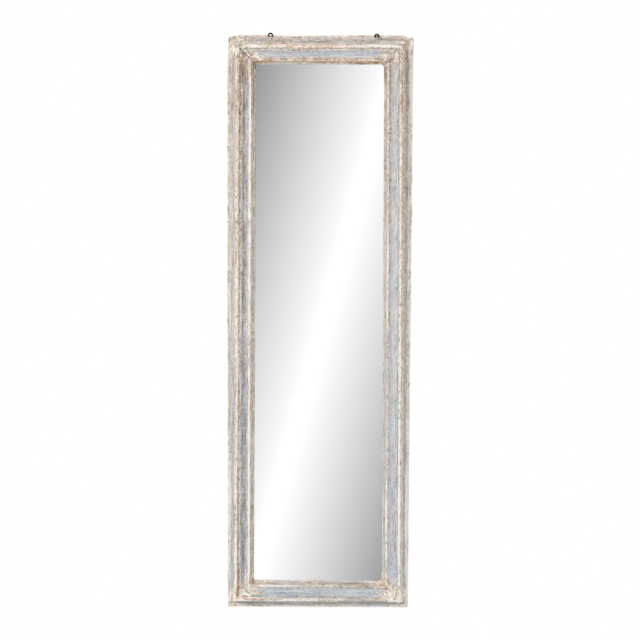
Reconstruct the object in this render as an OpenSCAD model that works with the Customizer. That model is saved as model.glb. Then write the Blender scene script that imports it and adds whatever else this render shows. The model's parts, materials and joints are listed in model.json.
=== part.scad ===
// Tall dressing mirror in a built-up, mitred and painted wooden frame.
// Sizes are in millimetres. X runs across and Z up. The mirror faces -Y and hangs on the plane y = 0.
// In the sections, u is the distance inwards from the frame's outer edge
// and t is the height forwards from the wall.

/* [Overall] */
// Width over the outer edges
frame_w = 565; // [500:5:640]
// Height over the outer edges
frame_h = 1750; // [1600:10:1900]

/* [Outer moulding] */
// Radius of the worn bead along the outer edge
edge_bead_r = 4; // [3:0.5:5]
// Height of the flat outer edge below that bead
edge_flat = 4; // [3:0.5:6]
// Gap between the back of the outer moulding and the wall
wall_gap = 1; // [0.5:0.5:2]
// Height of the outer cove's low edge above the centre of the edge bead
cove_lift = 3.5; // [2:0.5:4]
// Width of the outer cove
outer_cove_w = 19; // [16:1:22]
// Radius of the outer cove
outer_cove_r = 34; // [30:1:45]
// Radius of the half-round ridge
ridge_r = 7; // [6:0.5:8]
// Height of the ridge's crest above the front of the back frame
ridge_h = 28; // [25:1:32]
// Width of the lip that hides the back frame's outer edge
lip_w = 26; // [24:0.5:28]

/* [Cove moulding] */
// Width of the chamfer that makes the quirk beside the ridge
quirk_w = 2; // [1:0.5:3]
// Depth of that quirk below the high edge of the slope
quirk_d = 2.8; // [1.5:0.1:4]
// Height of the slope's high edge above the front of the back frame
slope_h = 23.3; // [21:0.1:25]
// Width of the slope
slope_w = 7; // [5:0.5:9]
// How far the slope falls
slope_fall = 2.8; // [1:0.1:4]
// Width of the step from the slope into the inner hollow
step_w = 2; // [1:0.5:3]
// Depth of that step
step_d = 2.9; // [1.5:0.1:4]
// Width of the inner hollow
hollow_w = 17; // [14:0.5:20]
// Radius of the inner hollow
hollow_r = 16; // [13:1:24]
// How much higher the hollow ends than it starts
hollow_lift = 1.9; // [0.5:0.1:3]
// Radius of the inner bead
bead_r = 4; // [3:0.5:5]
// Height of the inner bead's crest above the front of the back frame
bead_h = 26; // [24:0.5:29]
// Width of the steep fall from the inner bead to the sight slip
fall_w = 2.5; // [1.5:0.5:4]

/* [Sight slip] */
// Width of the slip that shows round the glass
slip_w = 8.5; // [8:0.5:12]
// Thickness of the slip
slip_t = 5; // [4:0.5:7]
// Width of the slip's tongue under the cove moulding
slip_tongue = 3.5; // [3:0.5:5]
// Worn chamfer on the slip's sight edge
slip_chamfer = 2; // [0.5:0.5:3]

/* [Back frame] */
// Thickness of the stiles and rails
back_t = 20; // [18:0.5:24]
// Width of the recess round the back, which the turn buttons lie in
recess_w = 21; // [20:0.5:23]
// Radius of the dowels through the corner laps
dowel_r = 4; // [3:0.5:5]
// How far each dowel stops short of both faces
dowel_short = 0.5; // [0.2:0.1:2]

/* [Glass and backing] */
// Thickness of the glass
glass_t = 4; // [3:0.5:5]
// How far the glass reaches behind the slip
glass_lap = 7.5; // [5:0.5:8]
// Room between the glass's edges and the back frame
glass_gap = 1.5; // [1:0.5:3]
// Thickness of the silvering and its protective paint
silver_t = 0.2; // [0.1:0.05:0.4]
// Thickness of the felt strips in front of the glass
felt_t = 0.7; // [0.5:0.1:1.5]
// Width of the felt strips
felt_w = 6; // [4:0.5:7]
// Thickness of the paper between the silvering and the backing board
paper_t = 0.3; // [0.2:0.1:1]
// Thickness of the backing board
board_t = 6; // [4:0.5:7]
// Room between the backing board's edges and the back frame
board_gap = 1; // [0.5:0.5:3]
// Length of each setting block under the glass
block_l = 30; // [20:1:50]
// Distance of each setting block from the middle
block_x = 120; // [60:5:140]

/* [Turn buttons] */
// Radius of a button's round ends
button_r = 7; // [5:0.5:8]
// Distance between the centres of a button's round ends
button_reach = 22; // [18:1:28]
// Thickness of a button
button_t = 2.5; // [1.5:0.5:3]
// Gap on each side of a button
button_gap = 0.3; // [0.3:0.1:0.6]
// Running clearance round a button's screw
button_run = 0.05; // [0.02:0.01:0.1]
// Spacing of the buttons on the stiles
button_pitch = 520; // [300:10:600]
// Radius of a button screw's shank
button_screw_r = 1.75; // [1.25:0.05:2]
// Length of the button screw below its head
button_screw_l = 12; // [10:0.5:13]
// Radius of a button screw's head
button_head_r = 4; // [3:0.1:5]
// Height of a button screw's head
button_head_h = 2.2; // [1.5:0.1:2.5]

/* [Moulding fasteners] */
// Radius of the screws that hold the mouldings to the back frame
screw_r = 2; // [1.5:0.1:2.5]
// Radius of those screws' heads
screw_head_r = 4; // [3.5:0.1:5]
// Height of those screws' countersunk heads
screw_head_h = 2.2; // [1.5:0.1:3]
// How deep the heads are sunk below the back face
screw_sink = 0.3; // [0.1:0.1:1]
// Length of the screws into the outer moulding
outer_screw_l = 36; // [28:1:38]
// Length of the screws into the cove moulding
cove_screw_l = 30; // [26:1:32]
// Greatest spacing of the screws along a side
screw_pitch = 300; // [150:10:400]
// Distance of the first outer screw from a corner
outer_screw_end = 120; // [100:5:180]
// Distance of the first cove screw from a corner
cove_screw_end = 150; // [100:5:180]
// Radius of the brads that pin the sight slips
brad_r = 0.6; // [0.4:0.1:0.8]
// Length of those brads
brad_l = 12; // [9:1:13]
// Room left round each screw, brad, dowel and screw eye in its hole
hole_gap = 0.1; // [0.05:0.05:0.2]

/* [Screw eyes] */
// Radius of an eye's ring, to the middle of its wire
eye_ring_r = 7.5; // [6:0.5:10]
// Radius of an eye's wire and shank
eye_wire_r = 1.75; // [1.25:0.05:2.25]
// Length of an eye's shank below its ring, with the point
eye_shank_l = 24; // [16:1:30]
// Length of the shank's point
eye_point_l = 5; // [3:0.5:8]
// Distance of the left eye from the frame's left edge
eye_left_in = 132.5; // [80:0.5:240]
// Distance of the right eye from the frame's right edge
eye_right_in = 108.5; // [80:0.5:240]
// Depth below the top edge at which the left eye's ring meets the moulding
eye_left_seat = 10.6; // [9:0.1:15]
// Depth below the top edge at which the right eye's ring meets the moulding
eye_right_seat = 13.7; // [9:0.1:15]

/* [Hidden] */
SIDES = ["left", "right", "top", "bottom"];
$fn = 64;
// Steps in each arc of a moulding's section
arc_n = 10;
// A cut runs this far past the face that it opens
past = 1;

// Distances inwards from the outer edge
u_cove = 2 * edge_bead_r;
u_ridge = u_cove + outer_cove_w;
u_crest = u_ridge + ridge_r;
u_quirk = u_crest + ridge_r;
u_slope = u_quirk + quirk_w;
u_step = u_slope + slope_w;
u_hollow = u_step + step_w;
u_bead = u_hollow + hollow_w;
u_fall = u_bead + 2 * bead_r;
u_slip = u_fall + fall_w;
u_tongue = u_slip - slip_tongue;
u_sight = u_slip + slip_w;
u_glass = u_sight - glass_lap;
u_rebate = u_glass - glass_gap;
u_board = u_rebate + board_gap;
u_recess = u_rebate - recess_w;
u_pivot = (u_recess + u_rebate) / 2;

// Heights forwards from the wall
t_edge_bead = wall_gap + edge_flat;
t_cove = t_edge_bead + cove_lift;
t_ridge = back_t + ridge_h - ridge_r;
t_slope = back_t + slope_h;
t_step = t_slope - slope_fall;
t_hollow = t_step - step_d;
t_bead = back_t + bead_h - bead_r;
t_slip = back_t + slip_t;
t_glass = back_t - felt_t;
t_silver = t_glass - glass_t;
t_paper = t_silver - silver_t;
t_board = t_paper - paper_t;
recess_d = t_board - board_t;
t_button = recess_d - button_gap;
t_head = t_button - button_t - button_gap;

eye_left_x = eye_left_in - frame_w / 2;
eye_right_x = frame_w / 2 - eye_right_in;

// The origin is the middle of the top rail's back face
z_top = (lip_w + u_recess) / 2;
z_bottom = z_top - frame_h;
z_middle = (z_top + z_bottom) / 2;

// Centre of a circle of radius r through p and q, on the left of the way from p to q
function arc_centre(p, q, r) =
    let (d = q - p, c = norm(d), n = [-d[1], d[0]] / c)
    (p + q) / 2 + n * sqrt(r * r - c * c / 4);

// Points on an arc about a centre, from one angle to another
function arc(centre, r, from, to) =
    [for (i = [0:arc_n]) let (a = from + (to - from) * i / arc_n) centre + r * [cos(a), sin(a)]];

// Points on an arc about a centre, from point p to point q
function arc_between(centre, p, q) =
    let (a = p - centre, b = q - centre)
    arc(centre, norm(a), atan2(a[1], a[0]), atan2(b[1], b[0]));

outer_cove_c = arc_centre([u_cove, t_cove], [u_ridge, t_ridge], outer_cove_r);
hollow_c = arc_centre([u_hollow, t_hollow], [u_bead, t_hollow + hollow_lift], hollow_r);

// Height of the outer cove's surface at distance u from the outer edge
function cove_surface(u) =
    outer_cove_c[1] - sqrt(outer_cove_r * outer_cove_r - pow(u - outer_cove_c[0], 2));

function side_length(side) = side == "left" || side == "right" ? frame_h : frame_w;
function side_turn(side) = side == "bottom" ? 0 : side == "top" ? 180 : side == "left" ? 90 : -90;
function side_place(side) =
    side == "bottom" ? [0, 0, z_bottom] :
    side == "top" ? [0, 0, z_top] :
    side == "left" ? [-frame_w / 2, 0, z_middle] : [frame_w / 2, 0, z_middle];

// Even places along a side, at most pitch apart and the given distance from both corners
function spots(side, end, pitch) =
    let (run = side_length(side) - 2 * end, n = max(1, ceil(run / pitch)))
    [for (i = [0:n]) i * run / n - run / 2];

function button_spots(side) =
    side == "left" || side == "right" ? [-button_pitch, 0, button_pitch] : [0];

// A side is drawn along X with u up Z and t along -Y, and then turned to its place
module on_side(side) {
    translate(side_place(side)) rotate([0, side_turn(side), 0]) children();
}

// Children drawn along Z start at height t and run forwards, away from the wall
module at_spot(s, u, t) {
    translate([s, -t, u]) rotate([90, 0, 0]) children();
}

// A box from u0 to u1 and from t0 to t1, centred along the side
module side_box(length, u0, u1, t0, t1) {
    translate([-length / 2, -t1, u0]) cube([length, t1 - t0, u1 - u0]);
}

// A length of moulding with 45 degree mitres at both ends
module mitred(side) {
    half = side_length(side) / 2;
    on_side(side) intersection() {
        rotate([180, -90, 0]) linear_extrude(2 * half, center = true) children();
        rotate([90, 0, 0]) linear_extrude(back_t + 2 * ridge_h)
            polygon([[-half, 0], [half, 0], [half - u_sight, u_sight], [u_sight - half, u_sight]]);
    }
}

module outer_section() {
    polygon(concat(
        [[0, wall_gap], [lip_w, wall_gap], [lip_w, back_t], [u_quirk, back_t]],
        arc([u_crest, t_ridge], ridge_r, 0, 180),
        arc_between(outer_cove_c, [u_ridge, t_ridge], [u_cove, t_cove]),
        arc([edge_bead_r, t_edge_bead], edge_bead_r, 45, 180)
    ));
}

module cove_section() {
    polygon(concat(
        [[u_tongue, back_t], [u_quirk, back_t], [u_quirk, t_slope - quirk_d]],
        [[u_slope, t_slope], [u_step, t_step]],
        arc_between(hollow_c, [u_hollow, t_hollow], [u_bead, t_hollow + hollow_lift]),
        arc([u_bead + bead_r, t_bead], bead_r, 180, 0),
        [[u_slip, t_slip], [u_tongue, t_slip]]
    ));
}

module slip_section() {
    polygon([
        [u_tongue, back_t], [u_tongue, t_slip], [u_sight - slip_chamfer, t_slip],
        [u_sight, t_slip - slip_chamfer], [u_sight, back_t]
    ]);
}

// A wood screw with a countersunk head, or the hole for it when gap is set
module countersunk_screw(length, gap) {
    mouth = gap > 0 ? screw_sink + past : 0;
    translate([0, 0, screw_sink]) {
        cylinder(h = length - screw_r + gap, r = screw_r + gap);
        cylinder(h = screw_head_h, r1 = screw_head_r + gap, r2 = screw_r + gap);
        translate([0, 0, length - screw_r + gap])
            cylinder(h = screw_r, r1 = screw_r + gap, r2 = gap);
    }
    translate([0, 0, screw_sink - mouth]) cylinder(h = mouth, r = screw_head_r + gap);
}

module outer_screws_on(side, gap) {
    on_side(side) for (s = spots(side, outer_screw_end, screw_pitch))
        at_spot(s, u_crest, 0) countersunk_screw(outer_screw_l, gap);
}

module cove_screws_on(side, gap) {
    on_side(side) for (s = spots(side, cove_screw_end, screw_pitch))
        at_spot(s, (u_quirk + u_recess) / 2, 0) countersunk_screw(cove_screw_l, gap);
}

module brads_on(side, gap) {
    on_side(side) for (s = spots(side, cove_screw_end, screw_pitch))
        at_spot(s, u_tongue + slip_tongue / 2, back_t - gap)
            cylinder(h = brad_l + 2 * gap, r = brad_r + gap);
}

module button_shanks_on(side, gap) {
    on_side(side) for (s = button_spots(side))
        at_spot(s, u_pivot, t_head) cylinder(h = button_screw_l + gap, r = button_screw_r + gap);
}

// Two dowels through each corner lap, on the diagonal across the mitre
module dowels_at(side, gap) {
    near = lip_w + 2 * dowel_r;
    far = u_recess - 2 * dowel_r + dowel_short;
    half = side_length(side) / 2;
    on_side(side) for (end = [-1, 1], place = [[near, far], [far, near]])
        at_spot(end * (half - place[0]), place[1], dowel_short - gap)
            cylinder(h = back_t - 2 * dowel_short + 2 * gap, r = dowel_r + gap);
}

// The straight shank of a screw eye with its point, from the ring's centre down
module eye_shank(seat, gap) {
    straight = eye_ring_r + eye_shank_l - eye_point_l;
    at_seat(seat) rotate([180, 0, 0]) {
        translate([0, 0, eye_ring_r]) cylinder(h = straight - eye_ring_r, r = eye_wire_r + gap);
        translate([0, 0, straight])
            cylinder(h = eye_point_l + gap, r1 = eye_wire_r + gap, r2 = gap);
    }
}

// Brings the centre of a ring to its place: its underside seats on the outer cove
module at_seat(seat) {
    t = cove_surface(seat) + eye_wire_r + hole_gap;
    translate([0, -t, z_top - seat + eye_ring_r + eye_wire_r]) children();
}

module eye_holes() {
    translate([eye_left_x, 0, 0]) eye_shank(eye_left_seat, hole_gap);
    translate([eye_right_x, 0, 0]) eye_shank(eye_right_seat, hole_gap);
}

module outer_moulding(side) {
    color([0.77, 0.75, 0.71]) difference() {
        mitred(side) outer_section();
        outer_screws_on(side, hole_gap);
        if (side == "top") eye_holes();
    }
}

module cove_moulding(side) {
    color([0.70, 0.72, 0.74]) difference() {
        mitred(side) cove_section();
        cove_screws_on(side, hole_gap);
        brads_on(side, hole_gap);
    }
}

module sight_slip(side) {
    color([0.77, 0.74, 0.70]) difference() {
        mitred(side) slip_section();
        brads_on(side, hole_gap);
    }
}

// A stile or rail with its recess and the places for its fasteners, before the corner laps
module back_member(side) {
    full = side_length(side);
    difference() {
        on_side(side) difference() {
            side_box(full - 2 * lip_w, lip_w, u_rebate, 0, back_t);
            side_box(full - 2 * u_recess, u_recess, u_rebate + past, -past, recess_d);
        }
        outer_screws_on(side, hole_gap);
        cove_screws_on(side, hole_gap);
        button_shanks_on(side, hole_gap);
        dowels_at("top", hole_gap);
        dowels_at("bottom", hole_gap);
        if (side == "top") eye_holes();
    }
}

// The part of a member's thickness that is cut away where it laps the next one
module lap_cuts(side, t0, t1) {
    half = side_length(side) / 2;
    on_side(side) for (end = [-1, 1])
        translate([end * (half - (u_rebate + lip_w - past) / 2), 0, 0])
            side_box(u_rebate - lip_w + past, lip_w - past, u_rebate + past, t0, t1);
}

module back_stile(side) {
    color([0.72, 0.58, 0.42]) difference() {
        back_member(side);
        lap_cuts(side, -past, recess_d);
    }
}

module back_rail(side) {
    color([0.70, 0.56, 0.40]) difference() {
        back_member(side);
        lap_cuts(side, recess_d, back_t + past);
    }
}

// A flat sheet whose edges lie at distance u from the frame's outer edges
module sheet(u, t0, t1) {
    translate([u - frame_w / 2, -t1, z_bottom + u])
        cube([frame_w - 2 * u, t1 - t0, frame_h - 2 * u]);
}

module mirror_glass() {
    color([0.80, 0.88, 0.86]) sheet(u_glass, t_silver, t_glass);
}

module mirror_silvering() {
    color([0.86, 0.87, 0.88]) sheet(u_glass, t_paper, t_silver);
}

module backing_paper() {
    color([0.68, 0.56, 0.40]) sheet(u_glass, t_board, t_paper);
}

module backing_board() {
    color([0.62, 0.47, 0.32]) sheet(u_board, recess_d, t_board);
}

// One felt strip; the upright strips run full height and the others fit between them
module glazing_felt(side) {
    inset = side == "left" || side == "right" ? u_glass : u_glass + felt_w;
    color([0.25, 0.24, 0.22]) on_side(side)
        side_box(side_length(side) - 2 * inset, u_glass, u_glass + felt_w, t_glass, back_t);
}

module setting_blocks() {
    color([0.55, 0.40, 0.26]) on_side("bottom") for (x = [-block_x, block_x])
        translate([x, 0, 0]) side_box(block_l, u_rebate, u_glass, t_silver, t_glass);
}

// A flat button with round ends that pivots at one of them and laps the backing board
module turn_button(side, s) {
    color([0.72, 0.58, 0.30]) on_side(side) at_spot(s, u_pivot, t_button - button_t) difference() {
        linear_extrude(button_t) {
            circle(button_r);
            translate([-button_r, 0]) square([2 * button_r, button_reach]);
            translate([0, button_reach]) circle(button_r);
        }
        translate([0, 0, -past])
            cylinder(h = button_t + 2 * past, r = button_screw_r + button_run);
    }
}

module turn_button_screws() {
    color([0.60, 0.56, 0.50]) for (side = SIDES) {
        button_shanks_on(side, 0);
        on_side(side) for (s = button_spots(side))
            at_spot(s, u_pivot, t_head - button_head_h) cylinder(h = button_head_h, r = button_head_r);
    }
}

module outer_moulding_screws() {
    color([0.55, 0.53, 0.50]) for (side = SIDES) outer_screws_on(side, 0);
}

module cove_moulding_screws() {
    color([0.55, 0.53, 0.50]) for (side = SIDES) cove_screws_on(side, 0);
}

module slip_brads() {
    color([0.50, 0.48, 0.46]) for (side = SIDES) brads_on(side, 0);
}

module corner_dowels() {
    color([0.80, 0.66, 0.48]) for (side = ["top", "bottom"]) dowels_at(side, 0);
}

module screw_eye(x, seat) {
    color([0.20, 0.16, 0.13]) translate([x, 0, 0]) {
        at_seat(seat) rotate([90, 0, 0]) rotate_extrude()
            translate([eye_ring_r, 0]) circle(eye_wire_r);
        eye_shank(seat, 0);
    }
}

outer_moulding("left");  // outer_moulding_left
outer_moulding("right");  // outer_moulding_right
outer_moulding("top");  // outer_moulding_top
outer_moulding("bottom");  // outer_moulding_bottom
cove_moulding("left");  // cove_moulding_left
cove_moulding("right");  // cove_moulding_right
cove_moulding("top");  // cove_moulding_top
cove_moulding("bottom");  // cove_moulding_bottom
sight_slip("left");  // sight_slip_left
sight_slip("right");  // sight_slip_right
sight_slip("top");  // sight_slip_top
sight_slip("bottom");  // sight_slip_bottom
back_stile("left");  // back_stile_left
back_stile("right");  // back_stile_right
back_rail("top");  // back_rail_top
back_rail("bottom");  // back_rail_bottom
mirror_glass();
mirror_silvering();
backing_paper();
backing_board();
glazing_felt("left");  // glazing_felt_left
glazing_felt("right");  // glazing_felt_right
glazing_felt("top");  // glazing_felt_top
glazing_felt("bottom");  // glazing_felt_bottom
setting_blocks();
turn_button("left", -button_pitch);  // turn_button_left_upper
turn_button("left", 0);  // turn_button_left_middle
turn_button("left", button_pitch);  // turn_button_left_lower
turn_button("right", button_pitch);  // turn_button_right_upper
turn_button("right", 0);  // turn_button_right_middle
turn_button("right", -button_pitch);  // turn_button_right_lower
turn_button("top", 0);  // turn_button_top
turn_button("bottom", 0);  // turn_button_bottom
turn_button_screws();
outer_moulding_screws();
cove_moulding_screws();
slip_brads();
corner_dowels();
screw_eye(eye_left_x, eye_left_seat);  // screw_eye_left
screw_eye(eye_right_x, eye_right_seat);  // screw_eye_right
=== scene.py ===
# %% [markdown]
# # A worn dressing mirror
# The object is a tall mirror in a hand-made frame: mitred mouldings with gesso and chalky paint, rubbed through to
# brown wood along every edge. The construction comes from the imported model. This lesson gives it its looks: the
# mouldings are remade as swept surfaces that a hand has worn, and the flat pieces keep their solids and get materials.

# %% Load the frame
import json
import math

import bpy
import numpy as np
from mathutils import Matrix, Vector


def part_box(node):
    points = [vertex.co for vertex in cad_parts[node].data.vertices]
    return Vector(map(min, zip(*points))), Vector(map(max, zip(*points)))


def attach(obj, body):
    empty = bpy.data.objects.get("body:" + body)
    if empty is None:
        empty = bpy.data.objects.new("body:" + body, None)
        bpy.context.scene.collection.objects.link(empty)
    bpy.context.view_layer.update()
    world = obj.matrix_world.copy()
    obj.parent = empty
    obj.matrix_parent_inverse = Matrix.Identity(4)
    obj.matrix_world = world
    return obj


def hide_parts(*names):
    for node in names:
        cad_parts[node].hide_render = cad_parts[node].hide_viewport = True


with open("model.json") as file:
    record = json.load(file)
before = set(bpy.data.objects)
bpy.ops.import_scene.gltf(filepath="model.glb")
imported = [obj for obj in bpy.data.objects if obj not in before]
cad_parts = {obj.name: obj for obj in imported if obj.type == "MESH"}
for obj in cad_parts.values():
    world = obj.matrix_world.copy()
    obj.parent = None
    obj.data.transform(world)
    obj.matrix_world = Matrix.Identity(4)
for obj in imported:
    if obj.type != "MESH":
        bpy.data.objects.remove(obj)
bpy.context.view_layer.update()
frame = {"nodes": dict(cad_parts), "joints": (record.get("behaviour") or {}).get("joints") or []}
MM = 0.001
edge_low, edge_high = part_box("outer_moulding_left")
LEFT, BOTTOM, TOP = edge_low.x / MM, edge_low.z / MM, edge_high.z / MM
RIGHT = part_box("outer_moulding_right")[1].x / MM
WIDTH, HEIGHT, MIDDLE = RIGHT - LEFT, TOP - BOTTOM, (TOP + BOTTOM) / 2

# %% [markdown]
# ## The camera
# The picture was taken from far away with a long lens, a little from the right and from above: the right and the top
# mouldings look wider than the left and the bottom ones. A far camera turned by those two angles shows the same, so no
# lens shift is needed. It is also rolled by a fraction of a degree, as a camera on a stand often is.

# %% Place the camera
FRAME_PIXELS = 640
MM_PER_PIXEL = 3.03
CAMERA_AZIMUTH, CAMERA_ELEVATION, CAMERA_ROLL = 3.2, 6.3, 0.2
CAMERA_DISTANCE = 30.0
CREST = 48.0                              # height of the ridge's crest from the wall, in mm
AIM_X, AIM_Z = 6.3, MIDDLE + 12.0         # what the picture's middle shows, in mm


def look_direction(azimuth, elevation):
    """Unit vector from the object towards a viewer at that azimuth and elevation, in degrees."""
    a, e = math.radians(azimuth), math.radians(elevation)
    return Vector((math.sin(a) * math.cos(e), -math.cos(a) * math.cos(e), math.sin(e)))


camera_data = bpy.data.cameras.new("camera")
camera = bpy.data.objects.new("camera", camera_data)
bpy.context.scene.collection.objects.link(camera)
bpy.context.scene.camera = camera
camera_data.sensor_width = 36.0
camera_data.lens = camera_data.sensor_width * CAMERA_DISTANCE / (FRAME_PIXELS * MM_PER_PIXEL * MM)
camera_data.clip_end = 100.0
towards_viewer = look_direction(CAMERA_AZIMUTH, CAMERA_ELEVATION)
aim = Vector((AIM_X, -CREST, AIM_Z)) * MM
camera.location = aim + towards_viewer * CAMERA_DISTANCE
roll = Matrix.Rotation(math.radians(CAMERA_ROLL), 3, towards_viewer)
camera.rotation_mode = "QUATERNION"
camera.rotation_quaternion = roll.to_quaternion() @ (-towards_viewer).to_track_quat("-Z", "Y")
print(f"lens {camera_data.lens:.0f} mm at {CAMERA_DISTANCE} m")

# %% [markdown]
# ## Helpers for node materials
# A procedural material is a small graph of nodes. Written out link by link it is long and hard to read. This class adds
# the nodes that the materials here need, one method for each kind: noise, a colour ramp, a mix, a bit of arithmetic.

# %% A graph of nodes
WHITE = (1.0, 1.0, 1.0, 1.0)


class Graph:
    """The nodes of one material or world. Each method adds a node and returns its output."""

    def __init__(self, owner):
        owner.use_nodes = True
        self.tree = owner.node_tree
        self.nodes = self.tree.nodes

    def plug(self, value, socket):
        """Links a node's output to a socket, or sets the socket to a plain value."""
        if isinstance(value, bpy.types.NodeSocket):
            self.tree.links.new(value, socket)
        else:
            socket.default_value = value

    def add(self, kind, inputs=None, output=0, **settings):
        """A node with its settings, and with a value or a link for each input given by name or number."""
        node = self.nodes.new("ShaderNode" + kind)
        for key, value in settings.items():
            setattr(node, key, value)
        for key, value in (inputs or {}).items():
            self.plug(value, node.inputs[key])
        return node.outputs[output]

    def place(self):
        """Coordinates in metres in the piece's own space, which is the frame's."""
        return self.add("TexCoord", output="Object")

    def attribute(self, name, output="Fac"):
        """What a piece's own attribute holds at each point."""
        return self.add("Attribute", output=output, attribute_name=name)

    def stretched(self, coordinates, *scale):
        """Coordinates multiplied by a scale for each axis, to stretch a pattern along the grain."""
        return self.add("Mapping", {"Vector": coordinates, "Scale": scale})

    def noise(self, coordinates, scale, detail, roughness, warp=0.0, output="Fac"):
        """Fractal noise with values near 0.5 and features of about 1 / scale metres. Its "Color" is three noises."""
        return self.add("TexNoise", {"Vector": coordinates, "Scale": scale, "Detail": detail,
                                     "Roughness": roughness, "Distortion": warp}, output)

    def math(self, operation, first, second=0.0, third=0.0):
        """One step of arithmetic: ADD, MULTIPLY and so on."""
        return self.add("Math", {0: first, 1: second, 2: third}, operation=operation)

    def times_plus(self, first, second, third):
        """first times second plus third."""
        return self.math("MULTIPLY_ADD", first, second, third)

    def minus(self, first, second):
        """first minus second."""
        return self.math("SUBTRACT", first, second)

    def step(self, value, low, high):
        """0 below low, 1 above high and a smooth rise between them. If low is the larger, it falls from 1 to 0."""
        return self.add("MapRange", {"Value": value, "From Min": low, "From Max": high}, "Result",
                        interpolation_type="SMOOTHSTEP")

    def mix(self, factor, first, second, blend="MIX"):
        """Colour between two colours, by a factor of 0 to 1."""
        return self.add("Mix", {0: factor, 6: first, 7: second}, 2, data_type="RGBA", blend_type=blend)

    def ramp(self, factor, *stops):
        """Colour ramp through (place, colour) stops."""
        colour = self.add("ValToRGB", {"Fac": factor}, "Color")
        elements = colour.node.color_ramp.elements
        while len(elements) < len(stops):
            elements.new(1.0)
        for element, (place, stop) in zip(elements, stops):
            element.position, element.color = place, stop
        return colour

    def bump(self, surface, height, depth):
        """Bump on a surface from a height of 0 to 1, whose full range is depth metres."""
        bump = self.add("Bump", {"Strength": 1.0, "Distance": depth, "Height": height}, "Normal")
        self.plug(bump, surface.inputs["Normal"])


# %% Colours and materials
def srgb(red, green, blue):
    """Linear colour from sRGB values of 0 to 255: ((c + 0.055) / 1.055) to the power 2.4, or c / 12.92 near black."""
    def linear(value):
        c = value / 255
        return c / 12.92 if c <= 0.04045 else ((c + 0.055) / 1.055) ** 2.4
    return (linear(red), linear(green), linear(blue), 1.0)


def new_material(name, values):
    """A material with a Principled surface whose inputs have these values. Returns material, graph and surface."""
    material = bpy.data.materials.new(name)
    graph = Graph(material)
    surface = graph.nodes["Principled BSDF"]
    for key, value in values.items():
        graph.plug(value, surface.inputs[key])
    return material, graph, surface


# %% [markdown]
# ## Light, floor and what the mirror sees
# A soft window light rakes across the frame from the left and a little from above, so every crest is bright on its
# left side and brown on its right. The rest is an even white surround. The mirror hangs, so the floor lies below it,
# and fades into the white background.
#
# The glass shows a bright band that slants from the top right to the bottom left, and falls off evenly to both sides.
# That is a reflection, not a paint on the glass, so it is made as one: a wide card stands in front of the mirror, seen
# by reflections alone, whose glow falls off in a straight line from its brightest stripe.

# %% Key light and surround
KEY_DIRECTION = look_direction(-48.0, 30.0)
KEY_DISTANCE, KEY_WIDTH, KEY_HEIGHT, KEY_POWER = 4.5, 1.6, 2.2, 62.0
SURROUND = 0.77                           # light of the surround on the object, where 1 is white

key_data = bpy.data.lights.new("window_light", "AREA")
key_data.shape, key_data.size, key_data.size_y = "RECTANGLE", KEY_WIDTH, KEY_HEIGHT
key_data.energy = KEY_POWER
key = bpy.data.objects.new("window_light", key_data)
key.location = Vector((0.0, 0.0, MIDDLE * MM)) + KEY_DIRECTION * KEY_DISTANCE
key.rotation_euler = KEY_DIRECTION.to_track_quat("Z", "Y").to_euler()
bpy.context.scene.collection.objects.link(key)


def seen_directly(graph):
    """1 for camera, glossy and transmission rays, which see the background itself, and 0 for the rest."""
    path = graph.nodes.new("ShaderNodeLightPath").outputs
    total = graph.math("ADD", path["Is Camera Ray"], path["Is Glossy Ray"])
    total = graph.math("ADD", total, path["Is Transmission Ray"])
    return graph.math("MINIMUM", total, 1.0)


world = bpy.data.worlds.new("white_surround")
bpy.context.scene.world = world
graph = Graph(world)
background = graph.nodes["Background"]
background.inputs["Color"].default_value = WHITE
graph.plug(graph.times_plus(seen_directly(graph), 1.0 - SURROUND, SURROUND), background.inputs["Strength"])
print(f"window light {KEY_DISTANCE} m away, surround {SURROUND:.0%}")

# %% Floor
FLOOR_DROP = 450.0                        # how far the floor lies below the hanging mirror, in mm
FLOOR_RADIUS = 9.0
FLOOR_FADE = (1.1, 2.0)                   # from shadowed floor to plain white, metres from the mirror
FLOOR_GLOW = 0.13                         # lifts the open floor to white, and leaves the shadow

bpy.ops.mesh.primitive_circle_add(vertices=96, radius=FLOOR_RADIUS, fill_type="NGON",
                                  location=(0.0, 0.0, (BOTTOM - FLOOR_DROP) * MM))
floor = bpy.context.object
floor.name = "floor"
floor_material, graph, surface = new_material("pale_floor", {
    "Roughness": 0.9, "Base Color": (0.90, 0.90, 0.90, 1.0), "Emission Color": WHITE})
graph.plug(graph.math("MULTIPLY", seen_directly(graph), FLOOR_GLOW), surface.inputs["Emission Strength"])
away = graph.add("VectorMath", {0: graph.place()}, "Value", operation="LENGTH")
fade = graph.math("MULTIPLY", graph.step(away, *FLOOR_FADE), seen_directly(graph))
white = graph.add("Emission")
shaded = graph.add("MixShader", {0: fade, 1: surface.outputs[0], 2: white})
graph.plug(shaded, graph.nodes["Material Output"].inputs["Surface"])
floor.data.materials.append(floor_material)
floor.visible_glossy = False
print(f"floor {FLOOR_DROP:.0f} mm below the mirror")

# %% Card in front of the mirror
CARD_DISTANCE, CARD_SIZE = 2.0, 40.0
GLASS_FRONT = -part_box("mirror_glass")[0].y
# The brightest stripe crosses the glass at this place in mm from its middle, at the middle height, and leans across by
# STRIPE_LEAN for each mm of height
STRIPE_X, STRIPE_LEAN = 10.0, 0.2667
# The glow falls by GLOW_FALL for each mm to either side. It rises again after GLOW_REACH, so that views from elsewhere
# meet soft bands too, and GLOW_TURN and GLOW_ROUND make the turn a soft one
GLOW_FALL, GLOW_REACH, GLOW_TURN, GLOW_ROUND = 0.0017, 440.0, 420.0, 90.0
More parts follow.
